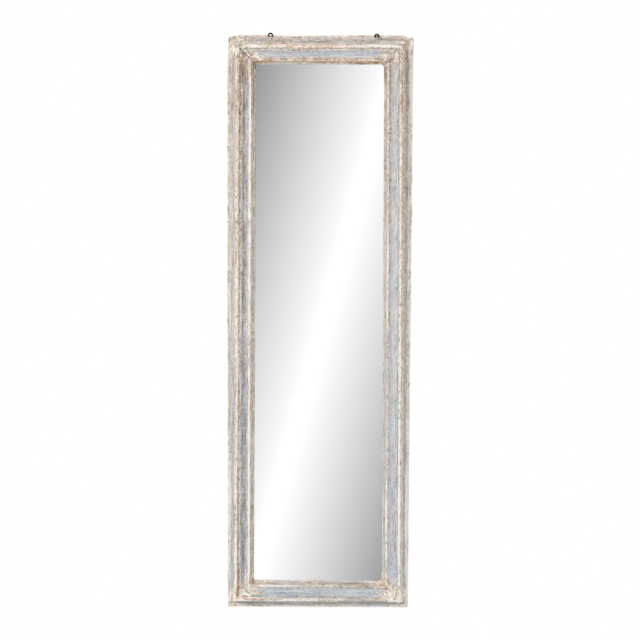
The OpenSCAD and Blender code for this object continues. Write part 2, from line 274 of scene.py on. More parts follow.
# The card's gain to the left of the stripe, how much more it has to the right, and from where to where it rises
CARD_GAIN, GAIN_RISE, GAIN_FROM, GAIN_TO = 1.05, 0.05, -50.0, 10.0


def reflected_on_card(glass_x, glass_z):
    """Where a ray from the camera by way of a point of the glass meets the card: the line from the camera's mirror
    image through the point, carried on by the card's distance."""
    image = Vector((camera.location.x, -2 * GLASS_FRONT - camera.location.y, camera.location.z))
    point = Vector((glass_x * MM, -GLASS_FRONT, glass_z * MM))
    ray = point - image
    return point + ray * (CARD_DISTANCE / -ray.y)


card_middle = reflected_on_card(0.0, MIDDLE)
card_scale = (reflected_on_card(100.0, MIDDLE).x - card_middle.x) / (100.0 * MM)
bpy.ops.mesh.primitive_plane_add(size=1.0, location=card_middle, rotation=(math.radians(90), 0, 0))
card = bpy.context.object
card.name = "reflection_card"
card.scale = (CARD_SIZE, CARD_SIZE, 1.0)
bpy.ops.object.transform_apply(location=False, rotation=True, scale=True)
card.visible_camera = card.visible_diffuse = card.visible_shadow = card.visible_volume_scatter = False
card_material, graph, surface = new_material("reflection_glow", {})
place = graph.nodes.new("ShaderNodeSeparateXYZ")
graph.plug(graph.place(), place.inputs[0])
to_mm = 1.0 / (card_scale * MM)
across = graph.times_plus(place.outputs["X"], to_mm, -STRIPE_X)
lean = graph.math("MULTIPLY", place.outputs["Z"], -STRIPE_LEAN * to_mm)
offset = graph.math("ADD", across, lean)
distance = graph.math("PINGPONG", graph.math("ABSOLUTE", offset), GLOW_REACH)
distance = graph.math("SMOOTH_MIN", distance, GLOW_TURN, GLOW_ROUND)
glow = graph.times_plus(distance, -GLOW_FALL, 1.0)
gain = graph.times_plus(graph.step(offset, GAIN_FROM, GAIN_TO), GAIN_RISE, CARD_GAIN)
emission = graph.add("Emission", {"Strength": graph.math("MULTIPLY", glow, gain)})
graph.plug(emission, graph.nodes["Material Output"].inputs["Surface"])
graph.nodes.remove(surface)
card.data.materials.append(card_material)
print(f"card at {tuple(round(v, 2) for v in card_middle)}, {card_scale:.2f} times the glass")

# %% [markdown]
# ## Noise for shapes
# Chips, wobbles and worn patches need noise that a mesh can use, with the same result each run. Value noise does it:
# random numbers sit on a lattice, and a smooth curve runs between them. Adding it to itself at twice the pitch and
# half the strength gives it finer detail. Everything is worked out for a whole array at once.

# %% Value noise
LATTICE = 256


def value_noise(x, y, seed):
    """Noise of 0 to 1 at lattice coordinates x, y: the four random corner values around the point, weighted by
    3 f squared minus 2 f cubed of the fractions f."""
    table = np.random.default_rng(seed).random((LATTICE, LATTICE))
    x0, y0 = np.floor(x).astype(int), np.floor(y).astype(int)
    fx, fy = x - x0, y - y0
    wx, wy = fx * fx * (3 - 2 * fx), fy * fy * (3 - 2 * fy)
    a, b, c, d = (table[(x0 + i) % LATTICE, (y0 + j) % LATTICE] for i, j in ((0, 0), (1, 0), (0, 1), (1, 1)))
    return (a * (1 - wx) + b * wx) * (1 - wy) + (c * (1 - wx) + d * wx) * wy


def cloud(x, y, seed, octaves=3):
    """Fractal noise of 0 to 1 with a mean of 0.5: octaves of value noise, each twice as fine and half as strong."""
    total, weight = 0.0, 0.0
    for octave in range(octaves):
        part = 0.5 ** octave
        total = total + part * value_noise(x * 2 ** octave, y * 2 ** octave, seed + 101 * octave)
        weight += part
    return total / weight


def ease(value, low, high):
    """0 below low, 1 above high, and a smooth rise between them."""
    f = np.clip((value - low) / (high - low), 0.0, 1.0)
    return f * f * (3 - 2 * f)


# %% [markdown]
# ## The moulding sections
# Each side of the frame is three lengths: the outer moulding with its edge bead, cove and ridge, the cove moulding
# with its slope, hollow and bead, and the slip round the glass. A section is a line in two numbers: how far in from
# the outer edge, and how high from the wall. Arcs and straight lines give it, with the joiner's sizes, and then it is
# walked at an even step so that the mesh has cells of one size.

# %% Section sizes, in mm
WALL_GAP, EDGE_FLAT, EDGE_R = 1.0, 4.0, 4.0
COVE_LIFT, COVE_W, COVE_R = 3.5, 19.0, 34.0
RIDGE_R = 7.0
BACK_FRONT = 20.0                         # the front of the back frame, which the mouldings sit on
LIP = 26.0
QUIRK_W, QUIRK_D = 2.0, 1.4               # half as deep as it was cut, because old paint fills it
SLOPE_TOP, SLOPE_W, SLOPE_FALL = 43.3, 7.0, 2.8
STEP_W, STEP_D = 2.0, 2.9
HOLLOW_W, HOLLOW_R, HOLLOW_LIFT = 17.0, 16.0, 1.9
BEAD_R, BEAD_TOP = 4.0, 46.0
FALL_W = 2.5
SLIP_W, SLIP_T, SLIP_TONGUE, SLIP_CHAMFER = 8.5, 5.0, 3.5, 2.0
SLIP_EASE_W, SLIP_EASE_D = 0.6, 0.7       # the worn corner of the slip's chamfer

# %% Places and heights in the section, in mm
# Places across, from the outer edge
U_COVE = 2 * EDGE_R
U_RIDGE = U_COVE + COVE_W
U_CREST = U_RIDGE + RIDGE_R
U_QUIRK = U_CREST + RIDGE_R
U_SLOPE = U_QUIRK + QUIRK_W
U_STEP = U_SLOPE + SLOPE_W
U_HOLLOW = U_STEP + STEP_W
U_BEAD = U_HOLLOW + HOLLOW_W
U_FALL = U_BEAD + 2 * BEAD_R
U_SLIP = U_FALL + FALL_W
U_TONGUE = U_SLIP - SLIP_TONGUE
U_SIGHT = U_SLIP + SLIP_W
# Heights from the wall
T_EDGE = WALL_GAP + EDGE_FLAT
T_COVE = T_EDGE + COVE_LIFT
T_RIDGE = CREST - RIDGE_R
T_STEP = SLOPE_TOP - SLOPE_FALL
T_HOLLOW = T_STEP - STEP_D
T_BEAD = BEAD_TOP - BEAD_R
T_SLIP = BACK_FRONT + SLIP_T
print(f"moulding {U_SIGHT:.0f} mm wide")

# %% Arcs and even steps
CELL_ACROSS = 0.9                         # size of a mesh cell across the section, in mm


def arc(centre, radius, start, stop):
    """Points on a circle, from one angle to another in degrees, about half a cell apart."""
    count = max(4, int(abs(math.radians(stop - start)) * radius / (CELL_ACROSS / 2)))
    angles = np.radians(np.linspace(start, stop, count))
    return np.stack([centre[0] + radius * np.cos(angles), centre[1] + radius * np.sin(angles)], 1)


def arc_through(p, q, radius):
    """The hollow arc of that radius from p to q: its centre lies on the left of the way from p to q, at the middle
    of the chord plus the normal times the square root of radius squared minus half the chord squared."""
    p, q = np.array(p), np.array(q)
    chord = np.linalg.norm(q - p)
    normal = np.array([p[1] - q[1], q[0] - p[0]]) / chord
    middle = (p + q) / 2 + normal * math.sqrt(radius ** 2 - chord ** 2 / 4)
    start, stop = (math.degrees(math.atan2(*(point - middle)[::-1])) for point in (p, q))
    return arc(middle, radius, start, stop)


def way_along(line):
    """How far each point lies along a line: the lengths of its steps, summed."""
    return np.concatenate([[0.0], np.cumsum(np.linalg.norm(np.diff(line, axis=0), axis=1))])


def walked(line, step):
    """The same line with its points an even step apart: the way along it is read back at even places."""
    run = way_along(line)
    places = np.linspace(0.0, run[-1], max(2, round(run[-1] / step) + 1))
    return np.stack([np.interp(places, run, line[:, 0]), np.interp(places, run, line[:, 1])], 1)


# %% The three sections
# Each section's face, from its outer end to its inner end, and the corners that close it behind
SECTIONS = {
    "outer_moulding": (             # the edge bead, up the cove and over the ridge
        np.concatenate([[[0.0, WALL_GAP]],
                        arc((EDGE_R, T_EDGE), EDGE_R, 180, 45),
                        arc_through((U_COVE, T_COVE), (U_RIDGE, T_RIDGE), COVE_R),
                        arc((U_CREST, T_RIDGE), RIDGE_R, 180, 0)]),
        [[U_QUIRK, BACK_FRONT], [LIP, BACK_FRONT], [LIP, WALL_GAP]]),
    "cove_moulding": (              # quirk, slope, step, hollow, bead and the steep fall to the slip
        np.concatenate([[[U_QUIRK, SLOPE_TOP - QUIRK_D], [U_SLOPE, SLOPE_TOP], [U_STEP, T_STEP]],
                        arc_through((U_HOLLOW, T_HOLLOW), (U_BEAD, T_HOLLOW + HOLLOW_LIFT), HOLLOW_R),
                        arc((U_BEAD + BEAD_R, T_BEAD), BEAD_R, 180, 0),
                        [[U_SLIP, T_SLIP]]]),
        [[U_TONGUE, T_SLIP], [U_TONGUE, BACK_FRONT], [U_QUIRK, BACK_FRONT]]),
    "sight_slip": (                 # from under the cove moulding to the sight edge and back to the glass
        np.array([[U_TONGUE, T_SLIP], [U_SIGHT - SLIP_CHAMFER, T_SLIP],
                  [U_SIGHT - SLIP_EASE_W, T_SLIP - SLIP_EASE_D], [U_SIGHT, T_SLIP - SLIP_CHAMFER],
                  [U_SIGHT, BACK_FRONT]]),
        [[U_TONGUE, BACK_FRONT]]),
}
for name, (face, back) in SECTIONS.items():
    print(f"{name}: {len(walked(face, CELL_ACROSS))} points across its face")

# %% [markdown]
# ## How the hand and the years changed it
# Nothing on this frame is straight. The edges wander by a millimetre or so, the crests are chipped, and the outer
# edges draw in a little towards the bottom. One function gives that wandering for all three lengths of a side, as a
# few wavering lines with straight blends between them, so that neighbours stay together at their seams. A second one
# rounds the corners that the paint has filled, and a third takes the whole face out of square. Modelling each dent
# by hand could do it too, but would have to be done again after any change of size.

# %% The four sides
# For each side: a point of its edge, its direction, the way inward, its length and its seed
SIDES = {
    "left": ((LEFT, MIDDLE), (0, 0, 1), (1, 0, 0), HEIGHT, 11),
    "right": ((RIGHT, MIDDLE), (0, 0, 1), (-1, 0, 0), HEIGHT, 23),
    "top": ((0.0, TOP), (1, 0, 0), (0, 0, -1), WIDTH, 37),
    "bottom": ((0.0, BOTTOM), (1, 0, 0), (0, 0, 1), WIDTH, 53),
}
print("sides:", ", ".join(f"{side} {values[3]:.0f} mm" for side, values in SIDES.items()))

# %% Wandering lines
# For each line of the section: its place, how far it wanders across and in height, and over what length, in mm
LINES = [
    (0.0, 1.0, 0.3, 55.0), (8.0, 0.6, 0.4, 40.0), (20.0, 0.4, 0.5, 60.0), (U_RIDGE, 0.5, 0.5, 50.0),
    (U_CREST, 0.6, 0.7, 40.0), (U_QUIRK, 0.6, 0.4, 34.0), (U_STEP, 0.5, 0.5, 40.0), (60.0, 0.5, 0.4, 45.0),
    (U_BEAD + BEAD_R, 0.4, 0.6, 36.0), (U_SLIP, 0.4, 0.2, 30.0), (U_SIGHT, 0.4, 0.3, 40.0)]
WANDER_GAIN = 2.6                         # the noise stays well inside its limits, and this brings it up to size
MITRE_STILL = 26.0                        # how far from a mitre the lines begin to wander, in mm


def wander(side, s, u):
    """How far the surface is moved across and in height at length s and distance u: each line's own noise along the
    length, weighted by 1 on the line and by a straight fall to 0 at its neighbours, and held still near the mitres
    so that two sides meet."""
    half, seed = SIDES[side][3] / 2, SIDES[side][4]
    places, peaks = [line[0] for line in LINES], np.eye(len(LINES))
    across, height = np.zeros(s.shape), np.zeros(s.shape)
    for row, (_, sway, lift, length) in enumerate(LINES):
        along, weight = s[:, :1] / length, WANDER_GAIN * np.interp(u, places, peaks[row])
        across += (cloud(along, 0 * along + 7.3 * row, seed, 3) - 0.5) * sway * weight
        height += (cloud(along * 1.3, 0 * along + 5.1 * row, seed + 7, 3) - 0.5) * lift * weight
    still = ease(half - u - np.abs(s), 0.0, MITRE_STILL)
    return across * still, height * still


# %% Rounded corners round the glass
# How round the paint has made the corners round the glass, in mm: at the low or left end and at the other end
SIGHT_ROUND = {"left": (4.0, 4.0), "right": (11.0, 10.0), "top": (4.0, 10.0), "bottom": (4.0, 11.0)}
SIGHT_FADE = U_SIGHT - 7.0, U_SIGHT - 1.0  # from where to where across the rounding sets in


def rounded_sight(side, s, u):
    """Shifts inward and back along the side that turn the sight corners into quarter circles: at distance d from the
    mitre the edge goes to the angle 45 (1 - d / radius) on the circle. The shift fades out away from the edge."""
    half = SIDES[side][3] / 2
    radius = np.where(s > 0, SIGHT_ROUND[side][1], SIGHT_ROUND[side][0])
    to_mitre = np.clip(half - u - np.abs(s), 0.0, radius)
    angle = math.pi / 4 * (1 - to_mitre / radius)
    fade = ease(u, *SIGHT_FADE)
    return fade * radius * (1 - np.cos(angle)), fade * (radius * (1 - np.sin(angle)) - to_mitre)


# %% Out of square
# The frame is a little out of square and out of size: the skew in mm for each mm across, and the stretches
SKEW, STRETCH_X, STRETCH_Z, SHIFT_X = 0.0065, 0.9987, 0.9965, 1.8
# Each length was planed a little off the drawing: inward shifts in mm by the distance from its edge
PLANED = {
    "left": [(0, 0.4), (18, 0.3), (25, 1.2), (34, -0.8), (43, -1.6), (52, -1.4), (60, 0.8), (73, 0.8), (80, 0),
             (88, -1), (150, 0)],
    "right": [(0, -0.5), (12, 0), (80, 0), (88, 0.2), (150, 0)],
    "top": [(0, 0), (18, -3), (34, -5.5), (50, -4.5), (73, -3), (88, -2), (150, 0)],
    "bottom": [(0, 0), (18, -3), (34, -5.5), (50, -4.5), (73, -3), (80, -4.2), (88, -5.4), (150, 0)],
}
# The lines of the left upright aren't parallel: place across, and inward shifts at the top, the middle and the bottom
LEANS = [(20, 0, 0, 0), (35, 1.8, 0, -0.5), (50, 1.8, 0, -0.5), (60, 0, 0, 0), (70, 1.4, 0, 0), (77, 1.2, 0, 0),
         (84, 0.2, -0.4, -1.3), (89, 0.2, -0.4, -1.3), (100, 0, 0, 0)]
# How much the outer edge of each upright draws in from top to bottom, in mm
DRAW_IN_LEFT, DRAW_IN_RIGHT = 6.0, 10.4
# How round each outer corner has worn, by its side of the middle across and up
CORNER_ROUND = {(-1, 1): 6.0, (1, 1): 8.0, (-1, -1): 5.0, (1, -1): 6.0}
# How far the outer lip of the top sags, in mm, by the place across: the right end has a notch and a knob
SAG = np.array([
    (LEFT, 3.4), (LEFT + 14, 2.2), (LEFT + 40, -1.6), (LEFT + 75, -2.2), (LEFT + 120, -0.8), (LEFT + 250, 0.2),
    (RIGHT - 70, -1.8), (RIGHT - 30, -1.4), (RIGHT - 24, 1.5), (RIGHT - 17, 6.0), (RIGHT - 13, 7.0),
    (RIGHT - 8, 3.2), (RIGHT - 4, 3.6), (RIGHT, 4.4)])
SAG_DEPTH = 60.0                          # how far below the top edge the sag ends
# The top left corner's outer edge stands back: by how much, over what width, and from where to where below the top
CORNER_BACK, CORNER_BACK_W, CORNER_BACK_END, CORNER_BACK_FULL = 3.4, 20.0, -130.0, -20.0


def out_of_square(points, amount):
    """The whole face leans and stretches as the joiner left it: x' = stretch x + shift, z' = stretch (z - middle)
    + middle + skew x. Near each edge the length planed off the drawing adds its own shift, the lines of the left
    upright lean, and the lips of the uprights draw in by a straight line from top to bottom. Squares round each
    corner's centre become circles: a point's offset from it is scaled by its larger part over its length."""
    x, z = points[..., 0], points[..., 2]
    edges = {"left": x - LEFT, "right": RIGHT - x, "top": TOP - z, "bottom": z - BOTTOM}
    left, right, up, down = (np.interp(away, *np.array(PLANED[side], float).T) for side, away in edges.items())
    fall = (TOP - z) / HEIGHT
    draw = (DRAW_IN_LEFT * np.clip(1 - edges["left"] / U_RIDGE, 0, 1)
            - DRAW_IN_RIGHT * np.clip(1 - edges["right"] / U_RIDGE, 0, 1))
    place, *leans = np.array(LEANS, float).T
    at_top, at_middle, at_bottom = (np.interp(edges["left"], place, shifts) for shifts in leans)
    lean = at_middle + np.where(fall < 0.5, (at_top - at_middle) * (1 - 2 * fall),
                                (at_bottom - at_middle) * (2 * fall - 1))
    moved = points.copy()
    moved[..., 0] += amount * ((STRETCH_X - 1) * x + SHIFT_X + draw * fall + left - right + lean)
    moved[..., 2] += amount * ((STRETCH_Z - 1) * (z - MIDDLE) + SKEW * x - up + down)
    for (across, level), radius in CORNER_ROUND.items():
        da = np.clip(radius - edges["left" if across < 0 else "right"], 0.0, radius)
        db = np.clip(radius - edges["top" if level > 0 else "bottom"], 0.0, radius)
        shrink = np.maximum(da, db) / np.maximum(np.hypot(da, db), 1e-9)
        inside = (da > 0) & (db > 0)
        moved[..., 0] -= amount * np.where(inside, across * da * (1 - shrink), 0.0)
        moved[..., 2] -= amount * np.where(inside, level * db * (1 - shrink), 0.0)
    moved[..., 2] -= amount * ease(z - TOP, -SAG_DEPTH, 0.0) * np.interp(x, *SAG.T)
    moved[..., 0] += (amount * CORNER_BACK * ease(z - TOP, CORNER_BACK_END, CORNER_BACK_FULL)
                      * np.clip(1 - edges["left"] / CORNER_BACK_W, 0.0, 1.0))
    return moved


# %% [markdown]
# ## Where it is worn
# The wear is a number at each point: 0 is whole paint, 1 is bare wood, and cream gesso shows between. Crests and
# arrises have more, hollows less, corners most, and noise breaks it up. Grime is a second number, high in the quirks:
# it is dirt, and also painted shade where the quirks, steps and hollows lie in shadow. Chalk is a third: fresh white
# gesso on an arris, and also a painted highlight on the flanks that face the window light. The tables say how each
# side was rubbed, lit and shaded, as the photo shows it.

# %% How each side is rubbed
# For places across each side, in mm from the outer edge: wear, grime with painted shade, and chalk with a painted
# highlight
RUBBED = {
    "left": [
        (0, 0.56, 0, 0.1), (6, 0.52, 0, 0.3), (9, 0.42, 0.1, 0), (12, 0.18, 0.15, 0), (20, 0.12, 0.15, 0),
        (25, 0.2, 0.1, 0), (27, 0.34, 0, 0.6), (29, 0.4, 0, 0.5), (31, 0.55, 0.05, 0.2), (33, 0.6, 0.05, 0.25),
        (36, 0.55, 0, 0.65), (39, 0.59, 0.08, 0.3), (42, 0.64, 0.15, 0.05), (44, 0.68, 0.3, 0), (45, 0.56, 0.25, 0),
        (48, 0.45, 0.25, 0), (51, 0.35, 0.45, 0), (55, 0.15, 0.55, 0), (61, 0.08, 0.38, 0), (66, 0.12, 0.2, 0),
        (69, 0.3, 0, 0.7), (71, 0.44, 0, 0.9), (73, 0.54, 0, 0.4), (75, 0.6, 0.1, 0.05), (78, 0.54, 0, 0.5),
        (80, 0.51, 0.15, 0.3), (84, 0.41, 0.08, 0.25), (88, 0.4, 0, 0.55)],
    "right": [
        (0, 0.5, 0, 0.7), (5, 0.5, 0, 0.6), (9, 0.48, 0, 0.55), (13, 0.36, 0.05, 0.2), (16, 0.22, 0.1, 0),
        (21, 0.22, 0.2, 0), (24, 0.56, 0.1, 0), (30, 0.61, 0, 0.15), (32, 0.56, 0, 0.4), (34.5, 0.48, 0, 0.8),
        (37, 0.42, 0, 0.5), (39, 0.34, 0, 0), (42, 0.2, 0, 0), (46, 0.16, 0, 0.15), (52, 0.14, 0, 0.1),
        (60, 0.08, 0, 0), (64, 0.16, 0.05, 0), (67, 0.56, 0, 0), (70, 0.58, 0, 0.2), (72.5, 0.46, 0, 0.45),
        (75, 0.38, 0.1, 0.25), (78, 0.26, 0.25, 0), (81, 0.39, 0.12, 0), (88, 0.36, 0.12, 0.1)],
    "top": [
        (0, 0.58, 0.05, 0), (6, 0.56, 0.05, 0), (9, 0.48, 0.2, 0), (14, 0.44, 0.4, 0), (21, 0.44, 0.4, 0),
        (26, 0.52, 0.15, 0), (28, 0.54, 0, 0.3), (31, 0.58, 0, 0.2), (34, 0.57, 0, 0.45), (37, 0.54, 0.05, 0.15),
        (40, 0.58, 0.05, 0.1), (43, 0.56, 0.2, 0), (47, 0.4, 0.3, 0), (52, 0.18, 0, 0), (60, 0.06, 0, 0),
        (65, 0.14, 0, 0), (68, 0.66, 0.1, 0), (71, 0.76, 0.1, 0), (74, 0.64, 0, 0.2), (76, 0.7, 0.1, 0),
        (79, 0.63, 0.2, 0), (82, 0.5, 0.1, 0), (85, 0.4, 0, 0.2), (88, 0.4, 0, 0.2)],
    "bottom": [
        (0, 0.42, 0, 1), (4, 0.38, 0, 0.8), (8, 0.34, 0.05, 0.4), (11, 0.24, 0.15, 0), (15, 0.16, 0.4, 0),
        (21, 0.2, 0.4, 0), (26, 0.4, 0.2, 0), (30, 0.54, 0.05, 0.3), (33, 0.56, 0.08, 0.2), (37, 0.46, 0.15, 0.05),
        (41, 0.36, 0.12, 0.05), (46, 0.16, 0.25, 0), (52, 0.14, 0.1, 0), (60, 0.08, 0, 0), (66, 0.16, 0, 0),
        (69, 0.46, 0.1, 0), (72, 0.6, 0.1, 0.2), (75, 0.56, 0, 0.2), (78, 0.5, 0.25, 0), (81, 0.4, 0.22, 0),
        (83, 0.4, 0.15, 0), (86, 0.38, 0.05, 0.25), (88, 0.36, 0, 0.3)],
}
print("places across:", {side: len(rows) for side, rows in RUBBED.items()})

# %% Spots
# Places rubbed, chipped or dirtied by hand, and places of painted highlight or painted shade: middle along and
# across in mm, reach along and across in mm, and how much more wear, chalk with painted highlight, and grime with
# painted shade
SPOTS = {
    "left": [
        (790, 56, 50, 12, 0.42, 0, 0), (-805, 42, 60, 9, 0.28, 0, 0), (330, 70, 12, 6, 0.1, 0.9, 0),
        (-785, 87, 9, 4, 0.6, -1.6, 1.9), (-842, 28, 22, 3.5, -0.2, 3.2, -0.3), (-600, 7, 160, 3, 0, 0.9, -0.1),
        (-640, 71, 150, 2.5, 0, 0.9, -0.1), (-745, 82, 40, 3, 0.1, -0.3, 0.4), (600, 40, 150, 2.5, 0.02, -0.7, 0.1),
        (-600, 40, 150, 2.5, 0.05, -0.6, 0.2), (-700, 34, 160, 2.5, -0.06, 0.7, -0.1),
        (680, 83.5, 90, 2.5, 0.1, -0.3, 0.45), (-40, 41.5, 190, 2, -0.06, 0.4, -0.15),
        (-180, 4, 150, 6, -0.15, -0.05, 0.1), (620, 16, 180, 5, 0, 0, 0.16), (-180, 29, 170, 4, -0.1, -0.1, 0.1),
        (620, 29, 180, 4, 0, -0.2, 0.08), (560, 35.5, 220, 4, -0.06, -0.4, -0.03),
        (-500, 36, 200, 3, -0.03, -0.15, 0), (-60, 35.5, 260, 3, -0.1, 0.2, -0.1)],
    "right": [
        (-842, 31, 22, 4, -0.1, 3, -0.2), (-800, 4, 60, 3, -0.1, 0.6, -0.1), (806, 67, 12, 5, 0.2, 1, 0),
        (-790, 68, 16, 5, 0.45, 0, 0), (-560, 34, 14, 3, 0, 0.8, 0), (740, 36, 110, 5, 0, -0.7, 0.1),
        (740, 27, 110, 3, -0.14, 0.2, -0.1), (760, 17, 110, 5, -0.12, -0.4, 0.2),
        (760, 8, 110, 3, -0.05, 0.05, -0.1), (850, 7, 18, 4, -0.2, 0.9, -0.3), (774, 86, 12, 2.5, 0.3, -0.5, 0.8),
        (550, 48, 200, 14, 0, -0.1, 0.22), (550, 16, 200, 6, 0, -0.1, 0.2), (550, 82, 200, 8, 0, -0.1, 0.2),
        (550, 38, 200, 3, 0, -0.4, 0), (-600, 37, 150, 3, 0, 0.9, -0.1), (-600, 12, 150, 6, 0.06, 0.7, -0.1),
        (-600, 52, 150, 10, 0, 0, 0.25), (-745, 52, 40, 8, 0, -0.3, 0.3), (-600, 76, 150, 3, 0, 0.6, -0.1),
        (400, 47, 300, 4, 0.08, -0.05, 0.05), (180, 72, 150, 3, -0.06, 0.3, -0.05),
        (-180, 71, 150, 3, -0.08, -0.2, 0.08), (-500, 47, 180, 5, 0, 0, 0.12)],
    "top": [
        (-196, 34, 20, 4, 0.1, 0.8, 0), (-120, 27, 60, 5, 0.15, 0.1, 0), (170, 45, 110, 5, -0.12, 0.1, -0.15),
        (170, 34, 110, 3, 0, 0.5, 0), (150, 7, 120, 4, -0.06, 0.5, 0), (170, 60, 90, 9, 0.22, 0, 0.05),
        (150, 71, 110, 3, -0.14, 0.5, 0), (140, 78, 60, 3, -0.15, 0.5, -0.1), (150, 84, 110, 3, 0.3, -0.3, 0.3),
        (228, 34, 30, 3, -0.06, 1.6, -0.1), (0, 22, 60, 6, 0, -0.1, 0.12), (20, 72, 50, 3, 0.15, -0.3, 0.1),
        (140, 36, 40, 3, 0, -0.5, 0.1), (140, 24, 40, 3, 0, -0.1, 0.2), (-60, 35.5, 120, 3, -0.04, 0.18, 0),
        (-10, 41.5, 60, 3, 0.06, -0.1, 0.18), (120, 86, 60, 4, 0.05, -0.2, 0.12), (-130, 71, 50, 4, -0.12, 0, 0.1),
        (-130, 71, 50, 3, 0.05, 0, 0)],
    "bottom": [
        (-60, 31, 60, 3, 0, 0.5, -0.1), (-130, 72, 50, 4, -0.1, 0.5, -0.1), (140, 32, 50, 4, 0, -0.6, 0.2),
        (140, 72, 50, 4, 0.1, -0.5, 0.15), (-120, 25, 70, 4, 0, 0.4, -0.2), (130, 25, 60, 4, -0.1, 0, 0.2),
        (120, 32, 60, 3, 0, -0.4, 0.15), (120, 78, 60, 10, 0, -0.3, 0.22), (-190, 52, 30, 10, 0.3, 0.2, 0),
        (-60, 33, 50, 4, 0, 0.4, 0), (-244, 31, 20, 4, -0.2, 3.2, -0.3), (242, 31, 20, 4, -0.1, 3, -0.2),
        (-230, 18, 50, 3, -0.1, 0, 0.3), (235, 18, 50, 3, -0.1, 0, 0.2), (-215, 8, 45, 4, 0.25, -0.2, 0.1),
        (262, 6, 14, 4, -0.1, 1.6, -0.1), (120, 33, 60, 5, -0.14, 0.1, 0.08)],
}
print("spots:", {side: len(spots) for side, spots in SPOTS.items()})


# %% Wear, grime with painted shade, chalk with painted highlight
def rubbed(side, s, u):
    """Wear, soiling with painted shade, and fresh gesso with a painted highlight, as the tables give them: straight
    between the places across, and more at each spot by its amounts times
    exp(-((s - middle) / reach) squared - ((u - place) / width) squared)."""
    places, *columns = np.array(RUBBED[side]).T
    wear, grime_and_shade, chalk_and_highlight = (np.interp(u, places, column) for column in columns)
    for middle, place, reach, width, more_wear, more_chalk_and_highlight, more_grime_and_shade in SPOTS[side]:
        near = np.exp(-((s - middle) / reach) ** 2 - ((u - place) / width) ** 2)
        wear, chalk_and_highlight, grime_and_shade = wear + more_wear * near, chalk_and_highlight + more_chalk_and_highlight * near, grime_and_shade + more_grime_and_shade * near
    return wear, grime_and_shade, chalk_and_highlight


# %% Marks, chips and cracks
# Where the paint of a side is paler, by places across it in mm. It is partly painted light: it lightens faces
# turned from the window light.
PALER_AND_LIT = {
    "left": [(0, 0), (5, 0.3), (9, 0.7), (12, 0.2), (16, 0)],
    "right": [(0, 0.6), (12, 0.4), (16, 0), (36, 0), (39, 0.6), (42, 0.4), (45, 0), (58, 0.4), (64, 0.7), (69, 0.5),
              (78, 0.2)],
    "top": [(0, 0)],
    "bottom": [(0, 0.3), (8, 0.2), (14, 0), (53, 0), (58, 0.35), (67, 0.4), (69, 0)],
}
# How warm the paint of each side is, and how the wear of each changes from its low or left end to the other
WARMTH = {"left": 0.13, "right": -0.04, "top": -0.02, "bottom": -0.12}
WEAR_RISE = {"left": 0.06, "right": 0.22, "top": 0.0, "bottom": 0.0}
# The four corners: how speckled and how whitened they are, at the low end, at the right end and elsewhere
SPECKLED, WHITENED = (0.42, 0.35, 0.7), (1.5, 0.6, 0.9)
# A corner's wear is at least CORNER_WEAR. It is full and ends at these distances from the mitre, in mm, give or take
# half of CORNER_RAGGED
CORNER_WEAR, CORNER_FULL, CORNER_END, CORNER_RAGGED = 0.54, 12.0, 68.0, 26.0
# The open mitres gape between these places across. A mitre's crack is this wide, and by this much wider there, in mm
GAPE_STARTS, GAPE_STOPS, CRACK_WIDTH, GAPE_WIDTH = (38.0, 44.0), (62.0, 70.0), 1.1, 0.5


